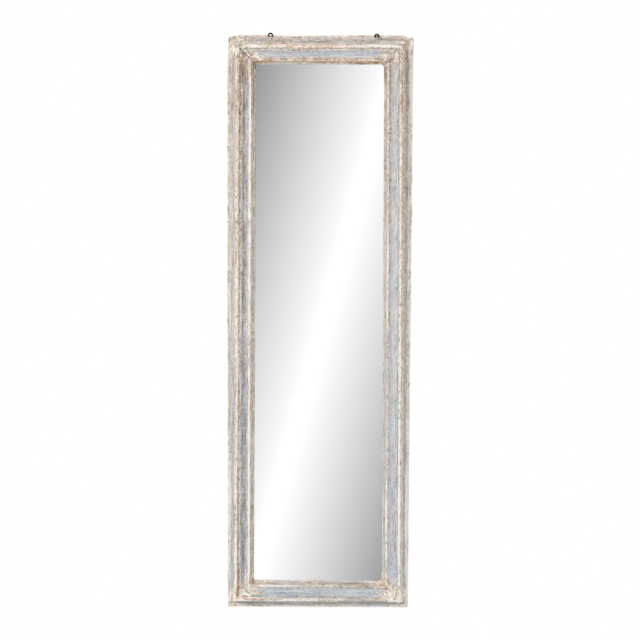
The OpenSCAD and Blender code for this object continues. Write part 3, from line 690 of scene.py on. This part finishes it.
def worn(side, s, u, q):
    """What a side carries at length s, distance u and way q across its face: its marks (wear, soiling with painted
    shade, tint, fresh gesso with a painted highlight, and paleness that is partly painted light), the depth of its
    chips and how open its mitre is. Each mark is the tables' value plus noise, and runs over into the corner's own
    value near a mitre. Chips lie where wear is high, and a crack of the width of a bell curve follows each mitre."""
    half, seed = SIDES[side][3] / 2, SIDES[side][4]
    upright = side in ("left", "right")
    level = s / half if upright else 0.0 * s
    low_end = {"top": False, "bottom": True}.get(side, s < 0)
    right_end = {"left": False, "right": True}.get(side, s > 0)
    open_end = (side == "left") & (s > 0) | (side == "top") & (s < 0)
    speckled, whitened = (np.where(low_end, low, np.where(right_end, right, other))
                          for low, right, other in (SPECKLED, WHITENED))
    patches = cloud(s / 46.0, q / 7.0, seed + 17, 4) - 0.5
    flecks = cloud(s / 15.0, q / 2.7, seed + 29, 3) - 0.5
    dots = cloud(s / 6.0, q / 4.5, seed + 83, 2) - 0.5
    to_mitre = half - u - np.abs(s)
    ragged = CORNER_RAGGED * (cloud(s / 14.0, q / 9.0, seed + 31) - 0.5)
    corner = 1.0 - ease(to_mitre + ragged, CORNER_FULL, CORNER_END)

    wear, grime_and_shade, chalk_and_highlight = rubbed(side, s, u)
    high = ease(level, 0.62, 0.92)
    wear = wear + 0.06 * high + WEAR_RISE[side] * s / half / 2 + (0.2 if upright else 0.3) * patches + 0.28 * flecks
    if side == "bottom":
        corner = corner * (1 - 0.75 * np.exp(-((u - 18.0) / 5.0) ** 2))
    wear = wear + corner * (np.maximum(CORNER_WEAR - wear, 0.0) + 0.6 * flecks + speckled * dots)
    chips = ease(cloud(s / 11.0, q / 4.5, seed + 43, 3), 0.60, 0.76) * ease(wear, 0.42, 0.75)

    gaping = open_end * ease(u, *GAPE_STARTS) * (1 - ease(u, *GAPE_STOPS))
    crack = np.exp(-(to_mitre / (CRACK_WIDTH + GAPE_WIDTH * gaping)) ** 2) * np.where(open_end, 1.0, 0.35)
    # Grime here also carries painted shade, and chalk further down carries a painted highlight
    grime_and_shade = (grime_and_shade + 0.18 * high) * (0.4 + 1.2 * cloud(s / 16.0, q / 5.0, seed + 57)) * (1 - 0.6 * corner)
    grime_and_shade = grime_and_shade + crack * (0.6 + 0.9 * gaping)
    grime_and_shade = grime_and_shade + np.where(low_end, 0.0, 0.45) * corner * cloud(s / 18.0, q / 6.0, seed + 63)
    chalk_and_highlight = chalk_and_highlight * (0.25 + 1.3 * cloud(s / 38.0, u / 14.0, seed + 91, 4)) * (1 - 0.6 * corner)
    chalk_and_highlight = chalk_and_highlight + whitened * corner * ease(-dots, 0.06, 0.2) - 2.0 * gaping * crack
    tint = 0.75 * cloud(s / 130.0, q / 11.0, seed + 71, 3) + 0.07 + WARMTH[side] + 0.2 * corner + 0.3 * level
    pale = np.interp(u, *np.array(PALER_AND_LIT[side], float).T)
    marks = {"wear": wear + 0.25 * chips, "grime_and_shade": grime_and_shade + 0.2 * chips, "tint": tint, "chalk_and_highlight": chalk_and_highlight, "pale": pale}
    return marks, chips, crack


# %% [markdown]
# ## Sweeping a section round the frame
# A length of moulding is its section carried along a side. The far ends are mitred, so a point that lies further in
# stops earlier: its place along the side is scaled by how much shorter the frame is there. The section is closed by its
# back and the ends by flat caps, which makes each length a solid piece that can be seen from behind as well.

# %% Meshes from arrays
def mesh_object(name, points, quads, caps=(), attributes=None, smooth=True):
    """A mesh from an array of points in metres, an array of four-sided faces and a few many-sided ones."""
    mesh = bpy.data.meshes.new(name)
    corners = np.concatenate([quads.ravel()] + [np.array(cap) for cap in caps]).astype(np.int32)
    sizes = np.concatenate([np.full(len(quads), 4), [len(cap) for cap in caps]]).astype(np.int32)
    mesh.vertices.add(len(points))
    mesh.vertices.foreach_set("co", np.asarray(points, np.float32).ravel())
    mesh.loops.add(len(corners))
    mesh.loops.foreach_set("vertex_index", corners)
    mesh.polygons.add(len(sizes))
    mesh.polygons.foreach_set("loop_start", np.concatenate([[0], np.cumsum(sizes)[:-1]]).astype(np.int32))
    mesh.polygons.foreach_set("use_smooth", np.full(len(sizes), smooth))
    for key_name, values in (attributes or {}).items():
        kind, field = ("FLOAT_VECTOR", "vector") if values.ndim == 2 else ("FLOAT", "value")
        layer = mesh.attributes.new(key_name, kind, "POINT")
        layer.data.foreach_set(field, np.asarray(values, np.float32).ravel())
    mesh.update(calc_edges=True)
    mesh.validate()
    made = bpy.data.objects.new(name, mesh)
    bpy.context.scene.collection.objects.link(made)
    return made


def tube_quads(rows, columns, flip):
    """Faces of a grid that is closed across: each cell joins a row to the next and a column to the next one round."""
    i, j = np.meshgrid(np.arange(rows - 1), np.arange(columns), indexing="ij")
    a, b = i * columns + j, i * columns + (j + 1) % columns
    cells = np.stack([a, a + columns, b + columns, b], -1).reshape(-1, 4)
    return cells[:, ::-1] if flip else cells


def end_caps(rows, columns, flip):
    """The faces that close both ends of such a grid."""
    first, last = list(range(columns)), list(range((rows - 1) * columns, rows * columns))
    return [first[::-1], last] if flip else [first, last[::-1]]


# %% Swept lengths
CELL_ALONG = 2.2                          # size of a mesh cell along a side, in mm
CHIP_DEPTH, CRACK_DEPTH = 1.3, 1.5        # in mm
WEAR_BEHIND = 0.85                        # the backs are nearly bare


def swept_length(kind, side):
    """One mitred length. A point at place a of -1 to 1 along the side and distance u in from the edge lies at
    s = a times (half the side - u); the hand-made wandering and the chips then move it."""
    (edge_x, edge_z), along, inward, length, seed = SIDES[side]
    along, inward, forward = np.array(along, float), np.array(inward, float), np.array([0.0, -1.0, 0.0])
    face, back = SECTIONS[kind]
    face = walked(face, CELL_ACROSS)
    outline = np.concatenate([face, back])
    u, t = outline[:, 0], outline[:, 1]
    free = np.concatenate([np.ones(len(face)), np.zeros(len(back))])
    rows = int(length / CELL_ALONG)
    a = np.linspace(-1.0, 1.0, rows)[:, None]
    s = a * (length / 2 - u)[None, :]
    q = np.broadcast_to(way_along(outline) + U_COVE * (kind == "cove_moulding"), s.shape)
    marks, chips, crack = worn(side, s, np.broadcast_to(u, s.shape), q)
    marks["wear"] = np.where(free, marks["wear"], WEAR_BEHIND)
    across, height = wander(side, s, u)
    round_in, round_back = rounded_sight(side, s, u)
    u_there, s_there = u + across * free + round_in, s - np.sign(s) * round_back
    t_there = t + (height - CHIP_DEPTH * chips - CRACK_DEPTH * crack) * free
    points = (np.array([edge_x, 0.0, edge_z]) + s_there[..., None] * along + u_there[..., None] * inward
              + t_there[..., None] * forward)
    points = out_of_square(points, free) * MM
    flip = np.dot(np.cross(along, inward), forward) < 0
    attributes = {name: values.ravel() for name, values in marks.items()}
    attributes["grain"] = (np.stack([s, q, 7.0 * seed + q * 0], -1) * MM).reshape(-1, 3)
    made = mesh_object(f"{kind}_{side}_worn", points.reshape(-1, 3), tube_quads(rows, len(u), flip),
                       end_caps(rows, len(u), flip), attributes)
    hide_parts(f"{kind}_{side}")
    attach(made, "frame")
    return made


mouldings = {kind: [swept_length(kind, side) for side in SIDES] for kind in SECTIONS}
for kind, lengths in mouldings.items():
    print(f"{kind}: {sum(len(o.data.polygons) for o in lengths)} faces in {len(lengths)} lengths")

# %% [markdown]
# ## Distressed paint
# Real distressed paint is a stack: wood, cream gesso, then a chalky colour. Rubbing takes off the top first, and the
# material keeps that order. It starts from the wear stored on the mesh, adds fine noise for ragged edges, and passes
# two thresholds: above the first the paint is gone and gesso shows, above the second the wood shows. Grime, which is
# also painted shade, then darkens the quirks, and chalk whitens the arrises, partly as a painted highlight where the
# window light falls. Paler paint also stands for painted light on faces turned from the window light. The pattern
# runs along each length by the mesh's own coordinates, so brush strokes and grain follow the moulding on all four
# sides.

# %% Paint material
# What the paint's colour is multiplied by where its tint is lowest, near the bottom of the frame
COLDER = (0.88, 0.98, 1.05, 1.0)
GESSO = (0.35, srgb(220, 202, 184)), (0.50, srgb(233, 219, 204)), (0.62, srgb(241, 233, 223))
BARE_WOOD = (0.34, srgb(166, 132, 104)), (0.50, srgb(203, 171, 142)), (0.66, srgb(224, 197, 170))
# The dirt colour also serves as painted shade in the quirks and hollows, and the chalk colour as a painted highlight on
# the flanks that face the window light
PIT, DIRT_AND_SHADE, CHALK_AND_HIGHLIGHT = srgb(140, 110, 86), srgb(122, 108, 98), srgb(251, 245, 235)
PAINT_GOES, GESSO_GOES = (0.38, 0.47), (0.63, 0.73)   # from what wear to what wear each layer goes
HUE_DRIFT, STREAKINESS, STIPPLING = 0.21, 0.72, 0.40  # how strongly these patterns overlay the colour
PAINT_DEPTH = 0.0006                      # the bump's full range, in metres


def distressed_paint(name, cool, warm, pale):
    """Chalky paint over gesso over wood: cool and warm are the two hues that the paint drifts between, and pale its
    rubbed, chalky tone. The soiling colour also lays painted shade in the quirks, the white a painted highlight on the
    lit arrises, and the pale tone painted light where the pale attribute lifts it."""
    material, g, surface = new_material(name, {"Roughness": 0.85})
    grain = g.attribute("grain", "Vector")
    wear, grime_and_shade, tint, chalk_and_highlight, paler_and_lit = (g.attribute(mark) for mark in ("wear", "grime_and_shade", "tint", "chalk_and_highlight", "pale"))
    strokes = g.noise(g.stretched(grain, 0.22, 1.0, 1.0), 420.0, 4.0, 0.6)
    ragged = g.noise(g.stretched(grain, 0.4, 1.0, 1.0), 240.0, 2.0, 0.55)
    blotches = g.noise(g.stretched(grain, 0.5, 1.0, 1.0), 70.0, 3.0, 0.5)

    # Paint, gesso and wood, with ragged edges between them
    rough_wear = g.times_plus(ragged, 0.8, g.minus(wear, 0.40))
    rough_wear = g.times_plus(strokes, 0.8, g.minus(rough_wear, 0.40))
    no_paint, no_gesso = g.step(rough_wear, *PAINT_GOES), g.step(rough_wear, *GESSO_GOES)
    hue = g.step(g.times_plus(blotches, 0.7, g.minus(tint, 0.35)), 0.32, 0.68)
    paint = g.mix(hue, cool, warm)
    paint = g.mix(g.step(tint, 0.28, 0.06), paint, COLDER, "MULTIPLY")
    # Paler paint where the pale attribute says: partly painted light on faces turned from the window light
    paint = g.mix(g.step(g.times_plus(paler_and_lit, 0.4, strokes), 0.46, 0.66), paint, pale)
    colour = g.mix(no_paint, paint, g.ramp(blotches, *GESSO))
    colour = g.mix(no_gesso, colour, g.ramp(strokes, *BARE_WOOD))

    # Pits in the worn places, dirt and painted shade in the quirks, fresh chalk and painted highlights on the arrises
    pits = g.step(g.noise(g.stretched(grain, 0.45, 1.0, 1.0), 200.0, 1.0, 0.5), 0.60, 0.67)
    pits = g.math("MULTIPLY", pits, g.step(rough_wear, 0.32, 0.5))
    colour = g.mix(g.math("MULTIPLY", pits, 0.7), colour, PIT)
    dirt_and_shade = g.step(g.times_plus(ragged, 0.5, grime_and_shade), 0.28, 1.10)
    colour = g.mix(g.math("MULTIPLY", dirt_and_shade, 0.7), colour, DIRT_AND_SHADE)
    # The white mask: fresh gesso, and a painted highlight on the arrises that face the window light
    white = g.step(g.times_plus(ragged, 1.2, g.minus(chalk_and_highlight, 0.6)), 0.40, 0.54)
    colour = g.mix(white, colour, CHALK_AND_HIGHLIGHT)

    # Slight drifts of hue, streaks along the grain and a fine stipple over everything
    hues = g.noise(g.stretched(grain, 0.25, 1.0, 1.0), 110.0, 3.0, 0.5, output="Color")
    streaks = g.noise(g.stretched(grain, 0.06, 1.0, 1.0), 230.0, 1.0, 0.5)
    stipple = g.noise(g.stretched(grain, 0.6, 1.0, 1.0), 220.0, 0.0, 0.5)
    for share, pattern in ((HUE_DRIFT, hues), (STREAKINESS, streaks), (STIPPLING, stipple)):
        colour = g.mix(share, colour, pattern, "OVERLAY")
    g.plug(colour, surface.inputs["Base Color"])

    layers = g.times_plus(no_paint, -0.35, g.math("MULTIPLY", strokes, 0.5))
    layers = g.times_plus(no_gesso, -0.3, layers)
    g.bump(surface, g.times_plus(ragged, 0.5, layers), PAINT_DEPTH)
    return material


# %% Paint on the mouldings
PAINTS = {
    "outer_moulding": ("outer_paint", distressed_paint(
        "grey_paint", srgb(178, 183, 186), srgb(190, 184, 176), srgb(206, 203, 197))),
    "cove_moulding": ("blue_grey_paint", distressed_paint(
        "blue_grey_paint", srgb(188, 194, 200), srgb(198, 196, 196), srgb(212, 213, 215))),
    "sight_slip": ("slip_paint", distressed_paint(
        "slip_paint", srgb(198, 195, 190), srgb(210, 200, 192), srgb(222, 214, 207))),
}
for kind, lengths in mouldings.items():
    slot_name, material = PAINTS[kind]
    for piece in lengths:
        piece.data.materials.append(material)
    print(f"{kind}: {material.name} in slot {slot_name}")

# %% [markdown]
# ## Glass and silvering
# The reflection comes from the silver behind the glass. The glass itself is clear and smooth. One shiny plane could
# stand for both, but it would lack the thickness of the glass in front of the silver. The glass is a flat plate with
# eased edges, and the turn buttons further down are such plates too.

# %% Plates with eased edges
def rounded_loop(half_a, half_b, radius, count):
    """A rectangle with rounded corners, as count points: the corner that an angle points to, plus the radius along
    that angle."""
    angles = (np.arange(count) + 0.5) * 2 * math.pi / count
    c, s = np.cos(angles), np.sin(angles)
    return np.stack([np.sign(c) * (half_a - radius) + radius * c, np.sign(s) * (half_b - radius) + radius * s], 1)


def plate(low, high, radius, ease_edge, count=48):
    """A flat upright plate that fills a box, with rounded corners and eased edges: four loops, the outer two drawn in
    by ease_edge, stacked along the thickness and capped."""
    low, high = np.array(low), np.array(high)
    middle, half = (low + high) / 2, (high - low) / 2
    eased = 1 - ease_edge / half[1]
    rings = []
    for inset, level in ((ease_edge, -1), (0.0, -eased), (0.0, eased), (ease_edge, 1)):
        ring = np.zeros((count, 3))
        ring[:, [0, 2]] = rounded_loop(*(half[[0, 2]] - inset), max(radius - inset, 1e-6), count)
        ring[:, 1] = level * half[1]
        rings.append(ring + middle)
    flip = np.dot(np.cross(rings[0][1] - rings[0][0], rings[3][0] - rings[0][0]), rings[0][0] - middle) > 0
    return np.concatenate(rings), tube_quads(4, count, not flip), end_caps(4, count, not flip)


# %% The slab of glass
GLASS_SHORT = 0.1 * MM        # faces in one place can't be told apart, so the slab stops before the silver
GLASS_CORNER, EASED = 1.0 * MM, 0.5 * MM

glass_material, graph, surface = new_material("clear_glass", {
    "Roughness": 0.0, "Base Color": WHITE, "Transmission Weight": 1.0, "IOR": 1.5})
glass_low, glass_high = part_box("mirror_glass")
glass_high.y -= GLASS_SHORT
glass = mesh_object("mirror_glass_slab", *plate(glass_low, glass_high, GLASS_CORNER, EASED), smooth=False)
glass.data.materials.append(glass_material)
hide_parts("mirror_glass")
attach(glass, "frame")
print("glass", [round(side / MM, 1) for side in glass_high - glass_low], "mm")


# %% Silvering
def dress(node_names, material):
    """Gives CAD nodes a finish, in place of the plain one that they came with."""
    for node_name in node_names:
        materials = frame["nodes"][node_name].data.materials
        materials.clear()
        materials.append(material)


silver_material, graph, surface = new_material("silvering", {
    "Roughness": 0.0, "Base Color": (0.97, 0.97, 0.97, 1.0), "Metallic": 1.0})
dress(["mirror_silvering"], silver_material)

# %% [markdown]
# ## The back
# The back is bare joinery: sawn pine, a plywood board, brown paper and felt. Wood shows as long dark streaks that run
# with the grain, made by noise that is squeezed across it. Photographs of wood would do too, but noise shows no seams
# and fits a piece of any length.

# %% Wood and specks
def wood_material(name, dark, light, stretch, coarse):
    """Bare wood whose grain runs along the axis with the smallest stretch value."""
    material, g, surface = new_material(name, {"Roughness": 0.72})
    place = g.stretched(g.place(), *stretch)
    rings = g.noise(place, coarse, 4.0, 0.55, 0.6)
    fibres = g.noise(place, coarse * 9, 3.0, 0.6)
    streaks = g.times_plus(fibres, 0.45, g.math("MULTIPLY", rings, 0.55))
    g.plug(g.ramp(streaks, (0.38, dark), (0.60, light)), surface.inputs["Base Color"])
    g.bump(surface, fibres, 0.0003)
    return material


def speckled(name, dark, light, scale, roughness, **values):
    """A finish that drifts between two colours in small specks."""
    material, g, surface = new_material(name, {"Roughness": roughness, **values})
    specks = g.noise(g.place(), scale, 4.0, 0.6)
    g.plug(g.ramp(specks, (0.40, dark), (0.62, light)), surface.inputs["Base Color"])
    g.bump(surface, specks, 0.0002)
    return material


# %% Finishes of the back
# Light soaks through the thin, loose felt. Its back, seen in the silvering, gets none here, so a faint glow stands in
# for that light: without it a black line frames the glass
FELT_GLOW = {"Subsurface Weight": 1.0, "Subsurface Radius": (1.0, 1.0, 1.0), "Subsurface Scale": 6.0 * MM,
             "Emission Color": srgb(226, 218, 208), "Emission Strength": 0.35}
PINE = srgb(152, 114, 76), srgb(206, 168, 124)
brass = speckled("aged_brass", srgb(112, 86, 46), srgb(186, 150, 86), 160.0, 0.42, Metallic=1.0)
steel = speckled("screw_steel", srgb(96, 90, 84), srgb(158, 154, 148), 260.0, 0.45, Metallic=1.0)
BACK_FINISHES = [
    (["back_stile_left", "back_stile_right"], wood_material("pine_upright", *PINE, (1.0, 1.0, 0.05), 90.0)),
    (["back_rail_top", "back_rail_bottom"], wood_material("pine_level", *PINE, (0.05, 1.0, 1.0), 90.0)),
    (["backing_board"],
     wood_material("backing_plywood", srgb(150, 124, 96), srgb(188, 162, 130), (1.0, 1.0, 0.04), 40.0)),
    (["corner_dowels"],
     wood_material("dowel_beech", srgb(178, 142, 104), srgb(206, 174, 136), (1.0, 0.1, 1.0), 200.0)),
    (["backing_paper"], speckled("brown_paper", srgb(164, 132, 94), srgb(182, 150, 110), 300.0, 0.9)),
    ([f"glazing_felt_{side}" for side in SIDES],
     speckled("pale_felt", srgb(196, 188, 178), srgb(216, 208, 198), 900.0, 1.0, **FELT_GLOW)),
    (["setting_blocks"], speckled("block_rubber", srgb(40, 38, 36), srgb(56, 54, 50), 400.0, 0.8)),
    (["slip_brads"], steel),
]
for node_names, material in BACK_FINISHES:
    dress(node_names, material)
print("dressed:", ", ".join(material.name for _, material in BACK_FINISHES))

# %% [markdown]
# ## Turn buttons and screws
# Eight brass buttons hold the backing board in. Each is a small plate with round ends, stamped from strip, so its
# edges are eased. It swings about its screw, and is a piece on its own body. The screws are plain slotted ones, as
# they would be in a frame of this age. A slotted head is made as two D-shaped halves that stand on a lower disc,
# which leaves the slot between them.

# %% Turn buttons
A_HAIR = 1e-5                             # keeps a short straight part between the two round ends, in metres
for joint in frame["joints"]:
    place = joint["child"].removeprefix("button_")
    low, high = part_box(f"turn_button_{place}")
    round_end = min(high.x - low.x, high.z - low.z) / 2 - A_HAIR
    button = mesh_object(f"turn_button_{place}_plate", *plate(low, high, round_end, EASED))
    button.data.materials.append(brass)
    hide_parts(f"turn_button_{place}")
    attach(button, joint["child"])

# %% Loops of a slotted screw, in mm
HEAD_R, HEAD_HEIGHT, SLOT_FLOOR, SLOT_HALF, TIP_R, TIP_LENGTH = 4.0, 2.2, -0.9, 0.45, 0.2, 4.0
# A head's loops as radius and level: below the slot's floor and above it, for a countersunk and for a domed head
COUNTERSUNK = ([(0.72 * HEAD_R, SLOT_FLOOR)],
               [(0.72 * HEAD_R, SLOT_FLOOR), (HEAD_R, -0.25), (HEAD_R - 0.2, 0.0)])
DOMED = ([(0.97 * HEAD_R, 0.01 - HEAD_HEIGHT), (HEAD_R, 0.5 - HEAD_HEIGHT), (0.93 * HEAD_R, SLOT_FLOOR)],
         [(0.93 * HEAD_R, SLOT_FLOOR), (0.80 * HEAD_R, -0.45), (0.55 * HEAD_R, -0.12), (0.28 * HEAD_R, 0.0)])


def rings_to_solid(rings):
    """A closed solid from loops of equal count, stacked one above the other along +Y: side faces and two caps."""
    count = len(rings[0])
    return np.concatenate(rings), tube_quads(len(rings), count, True), end_caps(len(rings), count, False)


def disc(radius, level, count=20):
    """A circle of points about the Y axis at that level."""
    turn = np.arange(count) * 2 * math.pi / count
    return np.stack([radius * np.cos(turn), np.full(count, level), radius * np.sin(turn)], 1)


def half_disc(radius, level, sign, count=14):
    """The part of a circle beyond a chord: its arc runs between the angles whose cosine is chord / radius."""
    reach = math.acos(SLOT_HALF / radius)
    turn = np.linspace(-reach, reach, count) + (0 if sign > 0 else math.pi)
    return np.stack([radius * np.cos(turn), np.full(count, level), radius * np.sin(turn)], 1)


# %% Slotted screws
def screws(name, places, shank, length, head, seed):
    """Slotted screws with their heads at the given places, facing +Y, each turned by its own angle."""
    below, above = head
    stem = [(TIP_R, -length), (shank, TIP_LENGTH - length), (shank, -HEAD_HEIGHT)]
    parts = [rings_to_solid([disc(*loop) for loop in stem + below])]
    parts += [rings_to_solid([half_disc(*loop, sign) for loop in above]) for sign in (1, -1)]
    turns = np.random.default_rng(seed).uniform(0, math.pi, len(places))
    c, z, w = np.cos(turns), np.zeros(len(places)), np.sin(turns)
    rotation = np.stack([np.stack([c, z, w], 1), np.stack([z, z + 1, z], 1), np.stack([-w, z, c], 1)], 1)
    points, quads, caps, start = [], [], [], 0
    for part_points, part_quads, part_caps in parts:
        placed = np.einsum("nij,pj->npi", rotation, part_points) + np.array(places)[:, None, :]
        points.append(placed.reshape(-1, 3))
        offsets = start + len(part_points) * np.arange(len(places))
        quads.append((part_quads[None] + offsets[:, None, None]).reshape(-1, 4))
        caps += [[index + int(offset) for index in cap] for offset in offsets for cap in part_caps]
        start += len(part_points) * len(places)
    made = mesh_object(f"{name}_slotted", np.concatenate(points) * MM, np.concatenate(quads), caps, smooth=False)
    made.data.materials.append(steel)
    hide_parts(name)
    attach(made, "frame")
    print(f"{name}: {len(places)} screws")


# %% Screws in their places
COVE_INSET = 49.5                         # from the outer edge to the screws of the cove moulding, in mm
SUNK, BUTTON_FACE = -0.3, -3.5            # where the screws' heads end, in mm from the wall


def along_sides(inset, levels, gaps, end):
    """Places of a row of screws along each side, at one inset from the edge. Upright rows come first, with so many
    gaps between screws that lie end mm from the corners. Then come level rows, at the places given by levels."""
    uprights = np.arange(TOP - end, BOTTOM + end - 1, -(HEIGHT - 2 * end) / gaps)
    return ([(side * (WIDTH / 2 - inset), SUNK, z) for side in (-1, 1) for z in uprights]
            + [(x, SUNK, z) for x in levels for z in (TOP - inset, BOTTOM + inset)])


button_places = [(j["pos_m"][0] / MM, BUTTON_FACE, j["pos_m"][2] / MM) for j in frame["joints"]]
screws("outer_moulding_screws", along_sides(U_CREST, (-162.5, 0.0, 162.5), 6, 120.0),
       2.0, 36.0, COUNTERSUNK, 5)
screws("cove_moulding_screws", along_sides(COVE_INSET, (-132.5, 132.5), 5, 150.0),
       2.0, 30.0, COUNTERSUNK, 6)
screws("turn_button_screws", button_places, 1.75, 14.0, DOMED, 7)

# %% [markdown]
# ## Screw eyes
# Each eye is one length of iron wire: a pointed shank, a small bend at the neck, and a ring that stops just short of
# closing. A ready-made ring has no open end and no neck, so a circle is swept along the wire's own line. Whoever
# painted the frame went over the lower half of the eyes too, so their tops alone stay dark.

# %% A bent wire
# At the photo's size an eye is a few dots wide. A thicker wire and a smaller ring give it the same dark look
WIRE_THICKER, RING_SMALLER = 1.32, 0.86
RING_START, RING_STOP = -72, 256          # degrees round the ring
WIRE_STEP, NECK = 0.45, 2.5               # in mm
AROUND = 14                               # points round the wire
SOFTEN = 7                                # points averaged to soften the neck
THIN_START, THIN_STOP = 5.0, 1.2          # over what length the wire thins at each end, in mm
SMEAR_FULL, SMEAR_GONE = -0.75, -0.45     # heights of the painter's smear, in ring radii from the ring's middle


def wire_eye(node_name, sideways, drop):
    """A wire swept along its middle line: up the shank, round the ring, with circles whose two axes are the line's
    normal in the ring's plane and the Y axis. The radius shrinks at both ends."""
    low, high = (np.array(corner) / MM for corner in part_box(node_name))
    wire = (high[1] - low[1]) / 2 * WIRE_THICKER
    ring = ((high[0] - low[0]) / 2 - wire) * RING_SMALLER
    middle = np.array([(low[0] + high[0]) / 2, (low[1] + high[1]) / 2, high[2] - ring - wire])
    shank = np.stack([np.zeros(12), np.linspace(low[2] - middle[2], -ring - NECK, 12)], 1)
    turn = np.radians(np.linspace(RING_START, RING_STOP, 90))
    line = walked(np.concatenate([shank, np.stack([np.cos(turn), np.sin(turn)], 1) * ring]), WIRE_STEP)
    padded = np.pad(line, ((SOFTEN // 2, SOFTEN // 2), (0, 0)), mode="edge")
    line = np.stack([np.convolve(padded[:, i], np.ones(SOFTEN) / SOFTEN, "valid") for i in (0, 1)], 1)
    step = np.gradient(line, axis=0)
    step /= np.linalg.norm(step, axis=1)[:, None]
    flat = np.zeros(len(line))
    run = np.linspace(0.0, 1.0, len(line)) * WIRE_STEP * len(line)
    radius = (wire * np.sqrt(np.clip(run / THIN_START, 0.01, 1))
              * np.sqrt(np.clip((run[-1] - run) / THIN_STOP, 0.01, 1)))
    round_it = np.linspace(0, 2 * math.pi, AROUND, endpoint=False)[None, :, None]
    normal = np.stack([-step[:, 1], flat, step[:, 0]], 1)[:, None]
    points = (np.stack([line[:, 0], flat, line[:, 1]], 1)[:, None]
              + radius[:, None, None] * (np.cos(round_it) * normal + np.sin(round_it) * np.array([0.0, 1.0, 0.0])))
    spots = cloud(points[..., 0] / 2.0 + 9, points[..., 2] / 2.0 + 9, 3) - 0.5
    smear = 1.0 - ease(points[..., 2] / ring + 0.35 * spots, SMEAR_FULL, SMEAR_GONE)
    points = points + middle + np.array([sideways, 0.0, -drop])
    made = mesh_object(f"{node_name}_wire", points.reshape(-1, 3) * MM, tube_quads(len(line), AROUND, False),
                       end_caps(len(line), AROUND, False), {"smear": smear.ravel()})
    made.data.materials.append(iron_painted)
    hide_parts(node_name)
    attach(made, "frame")
    return made


# %% Screw eyes
iron_painted, graph, surface = new_material("dark_iron_smeared", {"Roughness": 0.85, "Specular IOR Level": 0.06})
rust = graph.noise(graph.place(), 420.0, 4.0, 0.6)
iron = graph.ramp(rust, (0.42, srgb(4, 3, 2)), (0.64, srgb(28, 19, 13)))
graph.plug(graph.mix(graph.attribute("smear"), iron, srgb(214, 202, 188)), surface.inputs["Base Color"])
graph.bump(surface, rust, 0.0002)
eyes = [wire_eye("screw_eye_left", 1.3, 1.6), wire_eye("screw_eye_right", -0.3, -1.0)]
print("eyes:", [len(eye.data.polygons) for eye in eyes], "faces")

# %% [markdown]
# ## Colours
# The photo's white is plain white and its greys are even, as in Blender's Standard view. Other views bend bright
# colours towards grey, so that one is set.

# %% Colour view
bpy.context.scene.view_settings.view_transform = "Standard"
